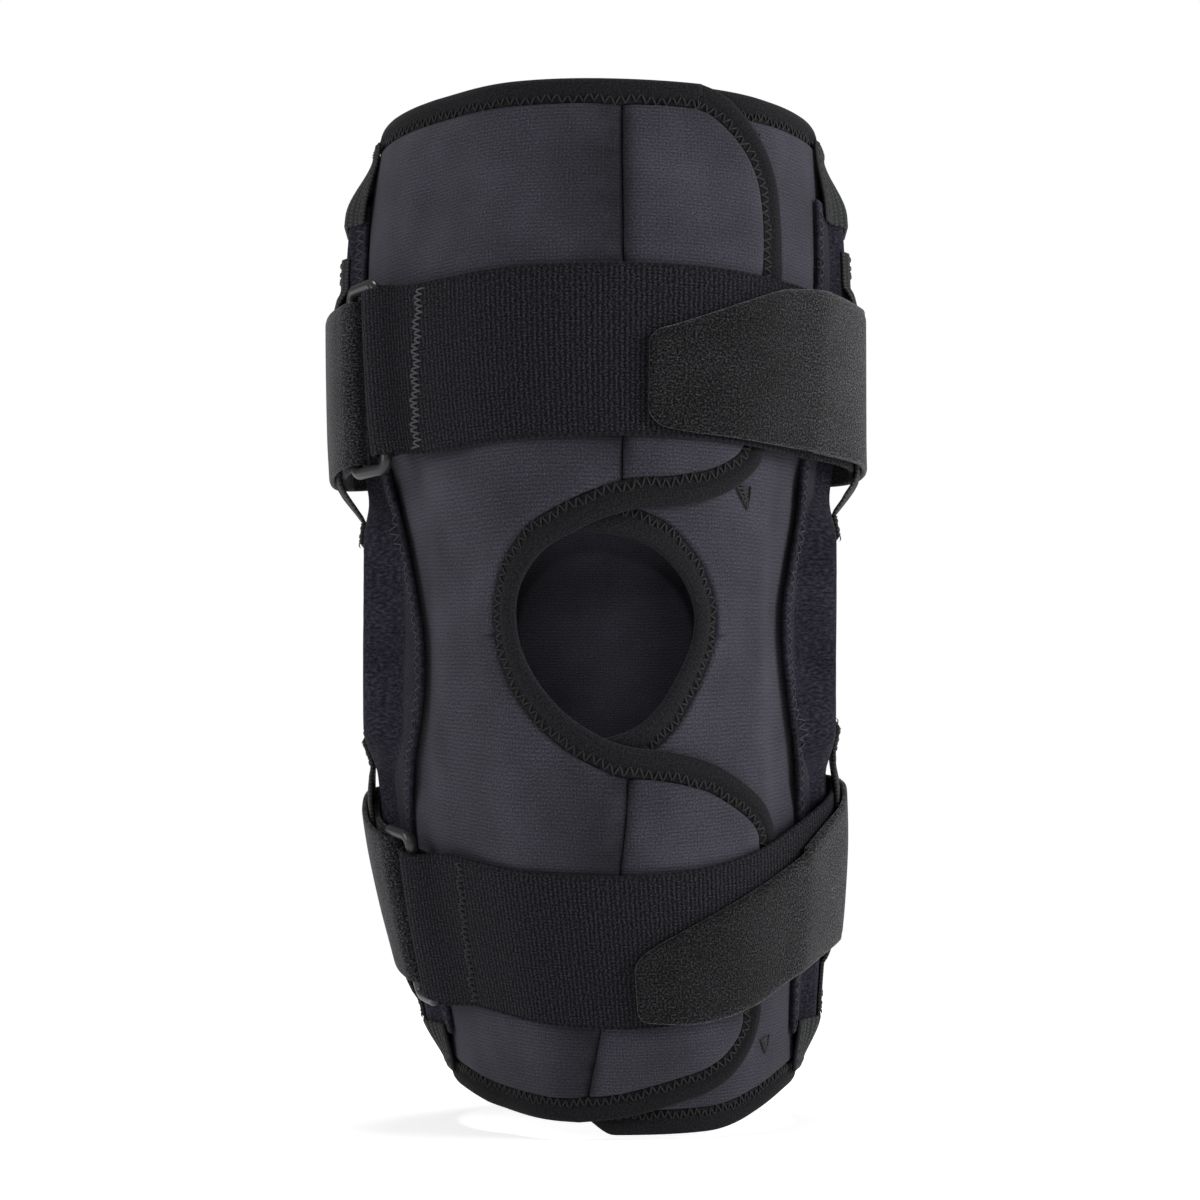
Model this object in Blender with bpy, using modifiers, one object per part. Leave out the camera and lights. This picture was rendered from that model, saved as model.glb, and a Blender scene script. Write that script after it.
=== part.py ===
"""Wrap-around hinged knee brace, in metres with +Z up and the front facing -Y.

Left is -X and right is +X, as seen from the front. Sizes are in mm and angles in degrees,
laid out from the knee centre, midway between the two pivots of each side hinge. A parent
empty then puts the origin at the middle of the overall box.

Textile pieces are grids laid on one leg surface and given thickness. A place on the leg is
(angle, z, standoff): angle 0 is the front and +90 is +X, standoff is the distance outwards.
"""

import math
from collections import namedtuple

import bmesh
import bpy
import numpy as np
from mathutils import Matrix, Vector

# ------------------------------------------------------------------ driving sizes
MM = 0.001
BOX_CENTRE = (-1.27, 8.44, 6.48)  # middle of the overall box, seen from the knee centre
SIDES = ((-1, "left"), (1, "right"))

PIVOT_Z = 9.0  # the hinge pivots sit this far above and below the knee centre
REST_LEAN = 7.0  # each half of the brace leans back this much
BEND_SPAN = 55.0  # the textile takes up the lean over this height

# Thicknesses of the soft parts
NEOPRENE = 3.0
POCKET_SKIN = 1.6
WEBBING = 1.2
STRAP_T = 1.6
ELASTIC_T = 1.5
TAB_T = 2.0
STACK_GAP = 0.4
OVER_NEOPRENE = NEOPRENE + STACK_GAP  # standoff of the parts laid over the neoprene
TAPE_SINK = 0.2  # the binding tape starts this far inside the neoprene's inner face

# Panel limits
TOP_Z = 151.5
BINDING_W = 5.2
PANEL_TOP = TOP_Z - BINDING_W - 0.3
THIGH_LOW = 31.6
KNEE_HIGH = 31.0
KNEE_LOW = -33.0
SHANK_HIGH = -33.7
SIDE_SEAM = 95.0
FRONT_SEAM = 6.0
UNDERLAP = -17.0  # angle the right panels reach under the left ones

# ------------------------------------------------------------------ leg tables: (z, value)
HALF_WIDTH = [
    (-142, 49.0), (-120, 49.5), (-100, 52.0), (-80, 55.3), (-60, 57.6), (-35, 58.4),
    (-24, 58.0), (0, 57.0), (24, 58.0), (42, 60.5), (60, 63.5), (85, 66.0), (105, 66.5),
    (125, 65.5), (155, 62.5),
]
DEPTH_FRONT = [
    (-142, 49.5), (-100, 54.0), (-60, 58.5), (-30, 61.5), (0, 64.0), (30, 65.5),
    (60, 66.5), (100, 69.5), (155, 71.0),
]
DEPTH_BACK = [
    (-142, 52.0), (-100, 58.0), (-60, 55.0), (0, 52.0), (60, 57.0), (100, 62.0), (155, 68.0),
]
AXIS_X = [
    (-142, 7.8), (-120, 6.8), (-100, 5.2), (-60, 2.0), (-30, 0.0), (30, 0.0), (60, -1.0),
    (120, -1.2), (155, 0.0),
]

# ------------------------------------------------------------------ tape outlines: (angle, z)
# All run from top to bottom. Patella opening: IN is the tape's edge at the opening and OUT
# its edge on the panel.
OPEN_LEFT_IN = [
    (-6.0, 26.0), (-15.0, 21.4), (-20.9, 14.3), (-22.8, 8.0), (-21.9, -1.4), (-18.2, -9.8),
    (-10.6, -18.5), (-0.8, -24.8), (5.8, -27.0),
]
OPEN_LEFT_OUT = [
    (-1.5, 30.4), (-9.7, 28.0), (-17.4, 25.0), (-23.8, 19.0), (-28.0, 9.4), (-27.4, -4.2),
    (-22.8, -16.8), (-14.7, -25.2), (-5.3, -30.0), (5.8, -33.2),
]
OPEN_RIGHT_IN = [
    (5.3, 24.9), (16.2, 21.1), (23.5, 14.4), (27.4, 6.3), (25.8, -5.5), (18.6, -16.9),
    (11.3, -22.8),
]
OPEN_RIGHT_OUT = [
    (2.7, 30.2), (16.0, 28.2), (27.9, 22.3), (34.0, 9.5), (32.8, -5.6), (26.6, -17.2),
    (17.5, -25.6), (-4.0, -32.6),
]
# Closure flaps: IN is the tape's edge on the flap and OUT its free edge.
FLAP_UP_IN = [
    (26.0, 145.5), (30.5, 141.5), (38.4, 130.0), (42.2, 118.0), (42.6, 99.5), (42.4, 75.0),
    (42.0, 54.0), (36.0, 46.0), (27.0, 41.0), (16.0, 38.4), (-1.5, 36.2),
]
FLAP_UP_OUT = [
    (27.5, 150.8), (35.3, 146.0), (44.2, 135.7), (48.0, 122.0), (48.6, 99.0), (48.2, 75.0),
    (47.4, 51.0), (42.0, 40.5), (32.0, 35.0), (18.0, 32.0), (-1.5, 30.4),
]
FLAP_LO_IN = [
    (6.8, -33.4), (16.0, -34.8), (27.0, -38.0), (37.0, -45.0), (43.5, -54.0), (44.0, -75.0),
    (40.5, -98.0), (36.3, -110.5), (28.0, -119.0), (14.0, -124.8), (0.0, -129.0),
    (-14.0, -131.0),
]
FLAP_LO_OUT = [
    (6.8, -27.2), (18.0, -29.0), (31.0, -32.6), (43.0, -40.0), (52.0, -51.0), (50.5, -75.0),
    (46.8, -98.0), (42.8, -116.5), (33.0, -126.0), (16.0, -131.2), (0.0, -134.8),
    (-14.0, -136.6),
]

# ------------------------------------------------------------------ scene
scene = bpy.context.scene
for old in list(bpy.data.objects):
    bpy.data.objects.remove(old, do_unlink=True)
solids = bpy.data.collections.new("knee_brace")
helpers = bpy.data.collections.new("knee_brace_cutters")
scene.collection.children.link(solids)
scene.collection.children.link(helpers)


# ------------------------------------------------------------------ curves and outlines
def smooth(share):
    """Eases from 0 to 1, flat outside that range."""
    share = max(0.0, min(1.0, share))
    return share * share * (3.0 - 2.0 * share)


def lerp(start, end, share):
    return start + (end - start) * share


def constant(value):
    return lambda _: value


def curve_at(rows, place):
    """Value at a place on a smooth curve through (place, value) rows."""
    if place <= rows[0][0]:
        return rows[0][1]
    if place >= rows[-1][0]:
        return rows[-1][1]
    k = max(i for i in range(len(rows) - 1) if rows[i][0] <= place)

    def slope(i):
        before, after = max(i - 1, 0), min(i + 1, len(rows) - 1)
        return (rows[after][1] - rows[before][1]) / (rows[after][0] - rows[before][0])

    step = rows[k + 1][0] - rows[k][0]
    t = (place - rows[k][0]) / step
    return (
        (2 * t**3 - 3 * t * t + 1) * rows[k][1]
        + (t**3 - 2 * t * t + t) * step * slope(k)
        + (3 * t * t - 2 * t**3) * rows[k + 1][1]
        + (t**3 - t * t) * step * slope(k + 1)
    )


def polyline(points, share):
    """Point at a share of a polyline's length."""
    lengths = [math.dist(start, end) for start, end in zip(points, points[1:])]
    run = share * sum(lengths)
    for start, end, length in zip(points, points[1:], lengths):
        if run <= length or end is points[-1]:
            part = min(1.0, run / length)
            return lerp(start[0], end[0], part), lerp(start[1], end[1], part)
        run -= length


def lowest_crossing(outline, angle):
    """Lowest z at which an (angle, z) outline crosses an angle."""
    return min(
        lerp(start[1], end[1], (angle - start[0]) / (end[0] - start[0]))
        for start, end in zip(outline, outline[1:])
        if min(start[0], end[0]) <= angle <= max(start[0], end[0])
    )


def angle_at(outline, z):
    """Angle of an (angle, z) outline at a height."""
    heights, angles = zip(*sorted((row_z, angle) for angle, row_z in outline))
    return float(np.interp(z, heights, angles))


# ------------------------------------------------------------------ the leg surface
def flat_point(angle, z, standoff):
    """Point outside the straight leg, before the two halves lean back."""
    sine, cosine = math.sin(math.radians(angle)), math.cos(math.radians(angle))
    half_width = curve_at(HALF_WIDTH, z)
    depth = curve_at(DEPTH_FRONT if cosine >= 0 else DEPTH_BACK, z)
    normal_x, normal_y = sine / half_width, -cosine / depth
    length = math.hypot(normal_x, normal_y)
    return Vector((
        curve_at(AXIS_X, z) + half_width * sine + standoff * normal_x / length,
        -depth * cosine + standoff * normal_y / length,
        z,
    ))


def lean(point):
    """Leans the upper half back about the upper pivot and the lower half about the lower."""
    up = 1 if point.z >= 0 else -1
    pivot_z = up * PIVOT_Z
    turn = REST_LEAN * (1.0 - smooth((BEND_SPAN - abs(point.z)) / BEND_SPAN))
    sine, cosine = math.sin(math.radians(-up * turn)), math.cos(math.radians(turn))
    rise = point.z - pivot_z
    return Vector((
        point.x,
        point.y * cosine - rise * sine,
        pivot_z + point.y * sine + rise * cosine,
    ))


def on_leg(angle, z, standoff):
    return lean(flat_point(angle, z, standoff))


# ------------------------------------------------------------------ materials
LOOKS = {
    "neoprene": dict(colour=(0.048, 0.045, 0.060), roughness=0.85),
    "plush": dict(colour=(0.018, 0.015, 0.026), roughness=0.95),
    "binding": dict(colour=(0.012, 0.012, 0.013), roughness=0.8),
    "elastic": dict(colour=(0.011, 0.012, 0.014), roughness=0.9),
    "strap": dict(colour=(0.026, 0.026, 0.027), roughness=0.95),
    "tab": dict(colour=(0.028, 0.028, 0.029), roughness=0.98),
    "webbing": dict(colour=(0.022, 0.023, 0.023), roughness=0.7),
    "ring": dict(colour=(0.10, 0.092, 0.096), roughness=0.4),
    "aluminium": dict(colour=(0.72, 0.73, 0.74), roughness=0.32, metallic=1.0),
    "rivet": dict(colour=(0.62, 0.62, 0.62), roughness=0.28, metallic=1.0),
    "pad": dict(colour=(0.12, 0.12, 0.13), roughness=0.8),
}


def material(name, colour, roughness, metallic=0.0):
    mat = bpy.data.materials.new(name)
    mat.use_nodes = True
    shader = mat.node_tree.nodes["Principled BSDF"]
    shader.inputs["Base Color"].default_value = (*colour, 1.0)
    shader.inputs["Roughness"].default_value = roughness
    shader.inputs["Metallic"].default_value = metallic
    mat.diffuse_color = (*colour, 1.0)
    return mat


def finish(obj, look):
    """Gives the object a material of its own, under its own name."""
    obj.data.materials.append(material(obj.name, **LOOKS[look]))


# ------------------------------------------------------------------ building helpers
def link(name, bm, collection=solids):
    mesh = bpy.data.meshes.new(name)
    bm.to_mesh(mesh)
    bm.free()
    obj = bpy.data.objects.new(name, mesh)
    collection.objects.link(obj)
    return obj


def extruded_verts(bm, faces):
    """Extrudes faces in place and returns the new vertices."""
    made = bmesh.ops.extrude_face_region(bm, geom=faces)
    return [part for part in made["geom"] if isinstance(part, bmesh.types.BMVert)]


def sheet(name, look, cells, spot, thickness, offset=1.0):
    """A grid laid out by spot(across, up), each 0 to 1, and given thickness.

    Offset 1 grows it away from the leg, 0 both ways.
    """
    bm = bmesh.new()
    bmesh.ops.create_grid(bm, x_segments=cells[0], y_segments=cells[1], size=0.5)
    for vert in bm.verts:
        vert.co = spot(vert.co.x + 0.5, vert.co.y + 0.5) * MM
    bm.normal_update()
    outward = 0.0
    for face in bm.faces:
        middle = face.calc_center_median()
        radial = Vector((middle.x, middle.y, 0.0)).normalized()
        outward += face.normal.dot(radial) * face.calc_area()
    if outward < 0:
        bmesh.ops.reverse_faces(bm, faces=bm.faces)
    obj = link(name, bm)
    thick = obj.modifiers.new("Thickness", "SOLIDIFY")
    thick.thickness = thickness * MM
    thick.offset = offset
    thick.use_quality_normals = True
    finish(obj, look)


# ------------------------------------------------------------------ front panels
FLAP_LO_BASE = sorted(point for point in FLAP_LO_IN if point[1] < -118.0)
SEWN_GAP = 0.5  # between the bottom tape and the panels above it


def left_lift(angle):
    """The left panels rise over the edge of the right panels that lie under them."""
    return (OVER_NEOPRENE + 0.12) * smooth((angle + 36.0) / 14.0)


def left_dip(angle):
    """How far the bottom edge has eased down towards the front, on the left."""
    return smooth((angle + 70) / 30)


def right_dip(angle):
    return smooth((72 - angle) / 45)


def bottom_tape_top_left(angle):
    return -129.3 - 1.5 * left_dip(angle)


def bottom_tape_top_right(angle):
    return -129.3 - 6.1 * right_dip(angle)


def left_open(z):
    """Angle where the left knee panel meets the patella opening's tape."""
    if z >= 30.4:
        return -2.4
    return angle_at(OPEN_LEFT_OUT, z) - 0.7


def right_open(z):
    """The same on the right, easing out to the underlap above and below the opening."""
    if z > 30.7:
        return UNDERLAP
    if z > 30.2:
        return lerp(2.7, UNDERLAP, (z - 30.2) / 0.5)
    if z < -32.6:
        return lerp(-4.0, UNDERLAP, (-32.6 - z) / 0.6)
    return angle_at(OPEN_RIGHT_OUT, z) + 0.8


def left_thigh_low(angle):
    return THIGH_LOW + 5.4 * smooth((angle + 9.0) / 5.0)


def left_shank_low(angle):
    """Follows the bottom tape, then the lower flap's tape near the front seam."""
    plain = bottom_tape_top_left(angle) + SEWN_GAP
    return lerp(plain, curve_at(FLAP_LO_BASE, angle) + 0.7, smooth((angle + 24.0) / 8.0))


def right_shank_low(angle):
    return bottom_tape_top_right(angle) + SEWN_GAP


def panel(name, angle_from, angle_to, z_from, z_to, lift, cells):
    """A panel with angle limits given at each height and height limits at each angle."""

    def spot(across, up):
        base_z = z_from(0.0)
        base_angle = lerp(angle_from(base_z), angle_to(base_z), across)
        z = lerp(z_from(base_angle), z_to(base_angle), up)
        angle = lerp(angle_from(z), angle_to(z), across)
        return on_leg(angle, z, lift(angle))

    sheet(f"front_panel_{name}", "neoprene", cells, spot, NEOPRENE)


def left_panel(name, angle_to, z_from, z_to, cells):
    panel(f"left_{name}", constant(-SIDE_SEAM), angle_to, z_from, constant(z_to), left_lift, cells)


def right_panel(name, angle_from, z_from, z_to, cells):
    panel(
        f"right_{name}", angle_from, constant(SIDE_SEAM), z_from, constant(z_to),
        constant(0.0), cells,
    )


left_panel("thigh", constant(FRONT_SEAM), left_thigh_low, PANEL_TOP, (14, 8))
left_panel("knee", left_open, constant(KNEE_LOW), KNEE_HIGH, (12, 13))
left_panel("shank", constant(FRONT_SEAM), left_shank_low, SHANK_HIGH, (14, 7))
right_panel("thigh", constant(UNDERLAP), constant(THIGH_LOW), PANEL_TOP, (15, 8))
right_panel("knee", right_open, constant(KNEE_LOW), KNEE_HIGH, (12, 13))
right_panel("shank", constant(UNDERLAP), right_shank_low, SHANK_HIGH, (15, 7))


# ------------------------------------------------------------------ back panels
def back_split_upper(angle):
    """Height of the thigh-to-knee split, rising from the side seam to the back."""
    return 31.0 + 27.0 * smooth((angle - SIDE_SEAM) / 85.0)


def back_split_lower(angle):
    return -34.0 - 23.0 * smooth((angle - SIDE_SEAM) / 85.0)


def back_panel(name, z_from, z_to, rows):
    first = SIDE_SEAM + 0.5

    def spot(across, up):
        angle = lerp(first, 360 - first, across)
        from_front = angle if angle <= 180 else 360 - angle
        return on_leg(angle, lerp(z_from(from_front), z_to(from_front), up), 0.0)

    sheet(f"back_panel_{name}", "neoprene", (20, rows), spot, NEOPRENE)


back_panel("thigh", lambda a: back_split_upper(a) + 0.6, constant(PANEL_TOP), 6)
back_panel("knee", lambda a: back_split_lower(a) + 0.5, lambda a: back_split_upper(a) + 0.1, 6)
back_panel("shank", constant(-129.0), back_split_lower, 5)


# ------------------------------------------------------------------ closure flaps
def closure_flap(name, top, side, base):
    """Rounded flap between a top and a base outline running from the front seam to the side.

    The side outline runs upwards, from the end of the base to the end of the top.
    """

    def spot(across, up):
        low_angle, low_z = polyline(base, across)
        top_angle, top_z = polyline(top, across)
        edge_angle, edge_z = polyline(side, up)
        angle_bulge = edge_angle - lerp(base[-1][0], top[-1][0], up)
        z_bulge = edge_z - lerp(base[-1][1], top[-1][1], up)
        angle = lerp(low_angle, top_angle, up) + angle_bulge * across**2
        z = lerp(low_z, top_z, up) + z_bulge * across**4
        return on_leg(angle, z, OVER_NEOPRENE)

    sheet(f"closure_flap_{name}", "neoprene", (7, 9), spot, NEOPRENE)


def flap_base(outline, corner_z, start):
    """Lower part of a flap outline, from a starting angle out to its side corner."""
    rest = [p for p in reversed(outline) if p[1] <= corner_z and p[0] > start]
    return [(start, lowest_crossing(outline, start))] + rest


closure_flap(
    "upper",
    top=[(FRONT_SEAM + 0.5, PANEL_TOP), (26.0, PANEL_TOP - 0.5)],
    side=[p for p in reversed(FLAP_UP_IN) if p[1] >= 54.0],
    base=flap_base(FLAP_UP_IN, 54.0, FRONT_SEAM + 0.5),
)
closure_flap(
    "lower",
    top=[p for p in FLAP_LO_IN if p[1] >= -54.0],
    side=[p for p in reversed(FLAP_LO_IN) if -110.5 <= p[1] <= -54.0],
    base=flap_base(FLAP_LO_IN, -110.5, FRONT_SEAM + 0.8),
)


# ------------------------------------------------------------------ bound edges
def tape(name, first_edge, second_edge, standoff, cells_along, thickness):
    """Binding tape between two outlines."""

    def spot(along, across):
        first, second = polyline(first_edge, along), polyline(second_edge, along)
        angle, z = lerp(first[0], second[0], across), lerp(first[1], second[1], across)
        return on_leg(angle, z, standoff(angle))

    sheet(name, "binding", (cells_along, 2), spot, thickness)


def inset(outer, inner, share):
    """Moves each point of outer by a share of the way to its matching place on inner."""
    moved = []
    for k, (angle, z) in enumerate(outer):
        target = polyline(inner, k / (len(outer) - 1))
        moved.append((lerp(angle, target[0], share), lerp(z, target[1], share)))
    return moved


def left_tape_standoff(angle):
    return left_lift(angle) - TAPE_SINK


tape(
    "patella_binding_left", OPEN_LEFT_IN, inset(OPEN_LEFT_OUT, OPEN_LEFT_IN, 0.13),
    left_tape_standoff, 26, NEOPRENE + 0.5,
)
tape(
    "patella_binding_right", OPEN_RIGHT_IN, inset(OPEN_RIGHT_OUT[:7], OPEN_RIGHT_IN, 0.3),
    constant(-0.3), 22, 3.3,
)

# The flap tapes stop a little short of the flaps: sideways along the side edge, and in
# height along the top and bottom edges.
flap_tape_upper_in = [
    (angle + (1.4 if k < 7 else 0.0), z - (0.45 if k >= 6 else 0.0))
    for k, (angle, z) in enumerate(FLAP_UP_IN)
]
flap_tape_lower_in = [
    (angle + (0.8 if 2 < k < 9 else 0.0), z + (0.45 if k <= 4 else -0.45 if k >= 8 else 0.0))
    for k, (angle, z) in enumerate(FLAP_LO_IN)
]
for tag, free_edge, sewn_edge in (
    ("upper", FLAP_UP_OUT, flap_tape_upper_in),
    ("lower", FLAP_LO_OUT, flap_tape_lower_in),
):
    tape(f"flap_binding_{tag}", free_edge, sewn_edge, constant(OVER_NEOPRENE), 22, 3.2)


def hoop(name, angle_from, angle_to, z_from, z_to, standoff, cells_along, thickness):
    """Binding tape round the brace's top or bottom edge."""

    def spot(along, up):
        angle = lerp(angle_from, angle_to, along)
        return on_leg(angle, lerp(z_from(angle), z_to(angle), up), standoff(angle))

    sheet(name, "binding", (cells_along, 1), spot, thickness)


LEFT_HOOP_T = NEOPRENE + 0.4
RIGHT_HOOP_T = NEOPRENE + 0.2
hoop(
    "top_binding_left", -180.0, 25.0, constant(TOP_Z - BINDING_W), constant(TOP_Z),
    left_tape_standoff, 30, LEFT_HOOP_T,
)
hoop(
    "top_binding_right", UNDERLAP, 179.5, constant(TOP_Z - BINDING_W), constant(TOP_Z),
    constant(-TAPE_SINK), 28, RIGHT_HOOP_T,
)
hoop(
    "bottom_binding_left", -180.0, -14.6, lambda a: -134.5 - 2.1 * left_dip(a),
    bottom_tape_top_left, left_tape_standoff, 24, LEFT_HOOP_T,
)
hoop(
    "bottom_binding_right", UNDERLAP, 179.5, lambda a: -134.5 - 6.6 * right_dip(a),
    bottom_tape_top_right, constant(-TAPE_SINK), 28, RIGHT_HOOP_T,
)


# ------------------------------------------------------------------ hinge pockets
POCKET_HINGE_X = 68.5  # inside face of the cover over the hinge plates
POCKET_ARM_H = 7.0  # height of the cover over the leg along the arms

# Pocket edges as (z, degrees from the hinge line), the front ones by side
FRONT_EDGE = {
    -1: [
        (-131, 19.0), (-100, 20.5), (-54, 24.0), (-40, 27.0), (-28, 31.0), (-16, 33.5),
        (0, 32.0), (16, 26.0), (30, 18.5), (43, 18.0), (75, 15.0), (100, 13.0), (131, 11.5),
    ],
    1: [
        (-131, 19.0), (-100, 21.0), (-54, 23.5), (-36, 22.5), (-20, 25.5), (-5, 28.0),
        (8, 28.5), (20, 25.5), (32, 22.5), (49, 23.5), (75, 23.0), (102, 22.0), (131, 20.0),
    ],
}
REAR_EDGE = [
    (-131, 18.0), (-60, 21.0), (-34, 27.0), (0, 32.0), (34, 26.0), (60, 21.0), (131, 18.0),
]


def pocket_inner(side, angle, z, extra=0.0):
    """Inside face of the pocket cover; angle 90 is the hinge line on either side."""
    low = flat_point(side * angle, z, OVER_NEOPRENE + extra)
    at_plates = smooth((42.0 - abs(z)) / 15.0)
    flat_half, ramp = lerp(8.7, 17.4, at_plates), lerp(5.0, 7.0, at_plates)
    arm_x = curve_at(HALF_WIDTH, z) + POCKET_ARM_H
    face_x = lerp(arm_x, max(POCKET_HINGE_X, arm_x), at_plates) + extra
    y = flat_point(side * angle, z, 0.0).y
    rise = smooth((flat_half + ramp - abs(y)) / ramp)
    return low.lerp(Vector((curve_at(AXIS_X, z) + side * face_x, y, z)), rise)


def pocket(name, side, z_from, z_to, rows, spacing):
    def spot(across, up):
        z = lerp(z_from, z_to, spacing(up))
        front, rear = 90 - curve_at(FRONT_EDGE[side], z), 90 + curve_at(REAR_EDGE, z)
        return lean(pocket_inner(side, lerp(front, rear, across), z))

    sheet(name, "plush", (14, rows), spot, POCKET_SKIN)


# The thigh and shank covers have their rows closer together towards the knee.
for side, label in SIDES:
    pocket(f"hinge_pocket_{label}_thigh", side, 31.2, 127.0, 9, lambda up: up**1.5)
    pocket(f"hinge_pocket_{label}_knee", side, -30.6, 30.6, 8, lambda up: up)
    pocket(
        f"hinge_pocket_{label}_shank", side, -118.0, -31.2, 9, lambda up: 1 - (1 - up) ** 1.5
    )


def pocket_cap(name, side, z_from, z_to, front, lip):
    """Woven end cap at the end of the hinge pocket, bulging at the edge next to it."""

    def spot(across, up):
        angle = lerp(90 - front, 90 + 16, across)
        bulge = 1.6 * math.sin(math.pi * across) * lip(up)
        return on_leg(side * angle, lerp(z_from, z_to, up), OVER_NEOPRENE + bulge)

    sheet(f"pocket_cap_{name}", "webbing", (6, 2), spot, WEBBING)


for side, label in SIDES:
    upper_front = 14 if side < 0 else 17
    pocket_cap(f"{label}_upper", side, 127.6, 146.0, upper_front, lambda up: 1 - up)
    pocket_cap(f"{label}_lower", side, -128.8, -118.6, 15, lambda up: up)


# ------------------------------------------------------------------ straps
Strap = namedtuple("Strap", "tag middle half_width tab_top tab_low tab_end")
TAB_HINGE = 52.0  # angle at which the hook tab joins the wrap strap
TAB_STANDOFF = 10.0
RING_R = 1.75

# The middle line and the tab's edges are (angle, z); tab_end is the angle of its free end.
STRAPS = (
    Strap(
        tag="upper",
        middle=[
            (-180, 79.0), (-135, 75.5), (-100, 69.0), (-82, 69.5), (-60, 72.2), (-45, 71.4),
            (-20, 72.4), (5, 73.0), (27, 73.0), (45, 72.2), (66, 71.4), (90, 71.0),
            (105, 71.5), (140, 76.0), (180, 79.0),
        ],
        half_width=24.2,
        tab_top=[
            (11.0, 77.6), (18.0, 80.4), (26.7, 84.6), (36.0, 89.4), (45.0, 93.6),
            (52.0, 95.2), (60.0, 96.2), (75.0, 95.6), (90.0, 94.2),
        ],
        tab_low=[(11.0, 53.0), (17.0, 50.4), (38.6, 49.0), (60.0, 48.6), (90.0, 47.8)],
        tab_end=11.6,
    ),
    Strap(
        tag="lower",
        middle=[
            (-180, -73.0), (-135, -74.0), (-100, -72.0), (-82, -77.0), (-60, -82.6),
            (-45, -81.8), (-20, -83.8), (5, -84.3), (28, -82.6), (42, -79.8), (56, -75.4),
            (75, -70.0), (90, -68.0), (110, -68.5), (140, -71.0), (180, -73.0),
        ],
        half_width=22.6,
        tab_top=[
            (4.5, -87.2), (12.0, -81.6), (32.7, -71.0), (52.0, -62.5), (70.0, -53.0),
            (90.0, -45.6),
        ],
        tab_low=[
            (4.5, -104.8), (22.0, -106.2), (40.0, -103.0), (55.6, -96.6), (80.0, -90.6),
            (90.0, -90.2),
        ],
        tab_end=5.0,
    ),
)

# Strap paths are (angle, standoff) of the mid-thickness.
# The elastic starts behind the ring's front bar, loops round it and crosses the front.
ELASTIC_PATH = [
    (-46.0, 4.35), (-53.0, 4.5), (-58.5, 5.6), (-63.0, 6.5), (-65.2, 7.3), (-65.9, 9.5),
    (-65.2, 11.7), (-63.0, 12.5), (-58.0, 10.8), (-52.0, 7.9), (-46.5, 6.4), (-40.0, 6.2),
    (-33.0, 6.4), (-27.0, 7.2), (-20.0, 7.75),
    *[(-13.0 + 7.0 * k, 7.75) for k in range(10)],
    (57.0, 7.8), (63.0, 8.2), (69.0, 9.2), (75.0, 10.3), (81.0, 10.6), (88.0, 10.6),
    (96.0, 10.6),
]
# The wrap strap loops round the ring's rear bar, then goes round the back to the tab.
WRAP_PATH = [
    (-101.0, 10.6), (-95.0, 10.6), (-89.0, 10.6), (-84.0, 10.6), (-80.5, 10.2),
    (-78.0, 8.9), (-76.0, 7.05), (-73.6, 7.6), (-72.5, 10.0), (-73.6, 12.4),
    (-76.0, 13.25), (-79.5, 14.1), (-85.0, 14.3), (-91.0, 14.3), (-97.0, 14.3),
    (-102.0, 14.1), (-108.0, 12.2), (-115.0, 9.0), (-123.0, 6.0), (-131.0, 4.75),
    *[(-131.0 - 9.0 * k, 4.75) for k in range(1, 11)],
    (-229.0, 4.75), (-237.0, 6.0), (-245.0, 9.0), (-252.0, 12.2), (-258.0, 14.1),
    (-263.0, 14.3), (-270.0, 14.3), (-277.0, 14.3), (-282.0, 13.8), (-288.0, 12.4),
    (-294.0, 11.2), (-301.0, 10.4), (TAB_HINGE - 360.0, TAB_STANDOFF),
]


def folded(angle):
    """Brings an angle past the back into the range of the strap tables."""
    return angle + 360 if angle < -180 else angle


def flare(angle, z):
    """How far the upper strap stands off at the sides, where the leg narrows under it."""
    if z < 0:
        return 0.0
    at_side = smooth((abs(angle) - 52.0) / 26.0) * smooth((142.0 - abs(angle)) / 20.0)
    return 0.85 * at_side * (curve_at(HALF_WIDTH, 97.0) - curve_at(HALF_WIDTH, min(z, 97.0)))


def strap_point(angle, z, standoff):
    """A place on a strap; the part at the ring sits further forward than its path says."""
    angle_in_table = folded(angle)
    at_ring = smooth((angle_in_table + 92.0) / 16.0) * smooth((-48.0 - angle_in_table) / 15.0)
    forward = (5.0 if z > 0 else 2.5) * at_ring
    return on_leg(angle + forward, z, standoff + flare(angle_in_table, z))


def ribbon(name, look, path, low, high, thickness):
    """A strap whose mid-surface follows path; low and high give its edges at an angle."""

    def spot(along, up):
        angle, standoff = path[round(along * (len(path) - 1))]
        edge_angle = folded(angle)
        return strap_point(angle, lerp(low(edge_angle), high(edge_angle), up), standoff)

    sheet(name, look, (len(path) - 1, 3), spot, thickness, offset=0.0)


def plain_edge(strap, up):
    """Upper (up 1) or lower (up -1) edge of a strap of even width."""
    return lambda angle: curve_at(strap.middle, angle) + up * strap.half_width


def wrap_edge(strap, up):
    """The wrap strap's edge, handed over to the tab's own edge on the right side."""
    plain = plain_edge(strap, up)
    tab_rows = strap.tab_top if up > 0 else strap.tab_low

    def edge(angle):
        if angle <= 0:
            return plain(angle)
        return lerp(curve_at(tab_rows, angle), plain(angle), smooth((angle - 90.0) / 35.0))

    return edge


def tab_edge(strap, up):
    """The hook tab's edge, rounded off at the free end."""
    tab_rows = strap.tab_top if up > 0 else strap.tab_low

    def edge(angle):
        rounding = 5.0 * (1 - smooth((angle - strap.tab_end) / 5.5)) ** 2
        return curve_at(tab_rows, angle) - up * rounding

    return edge


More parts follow.
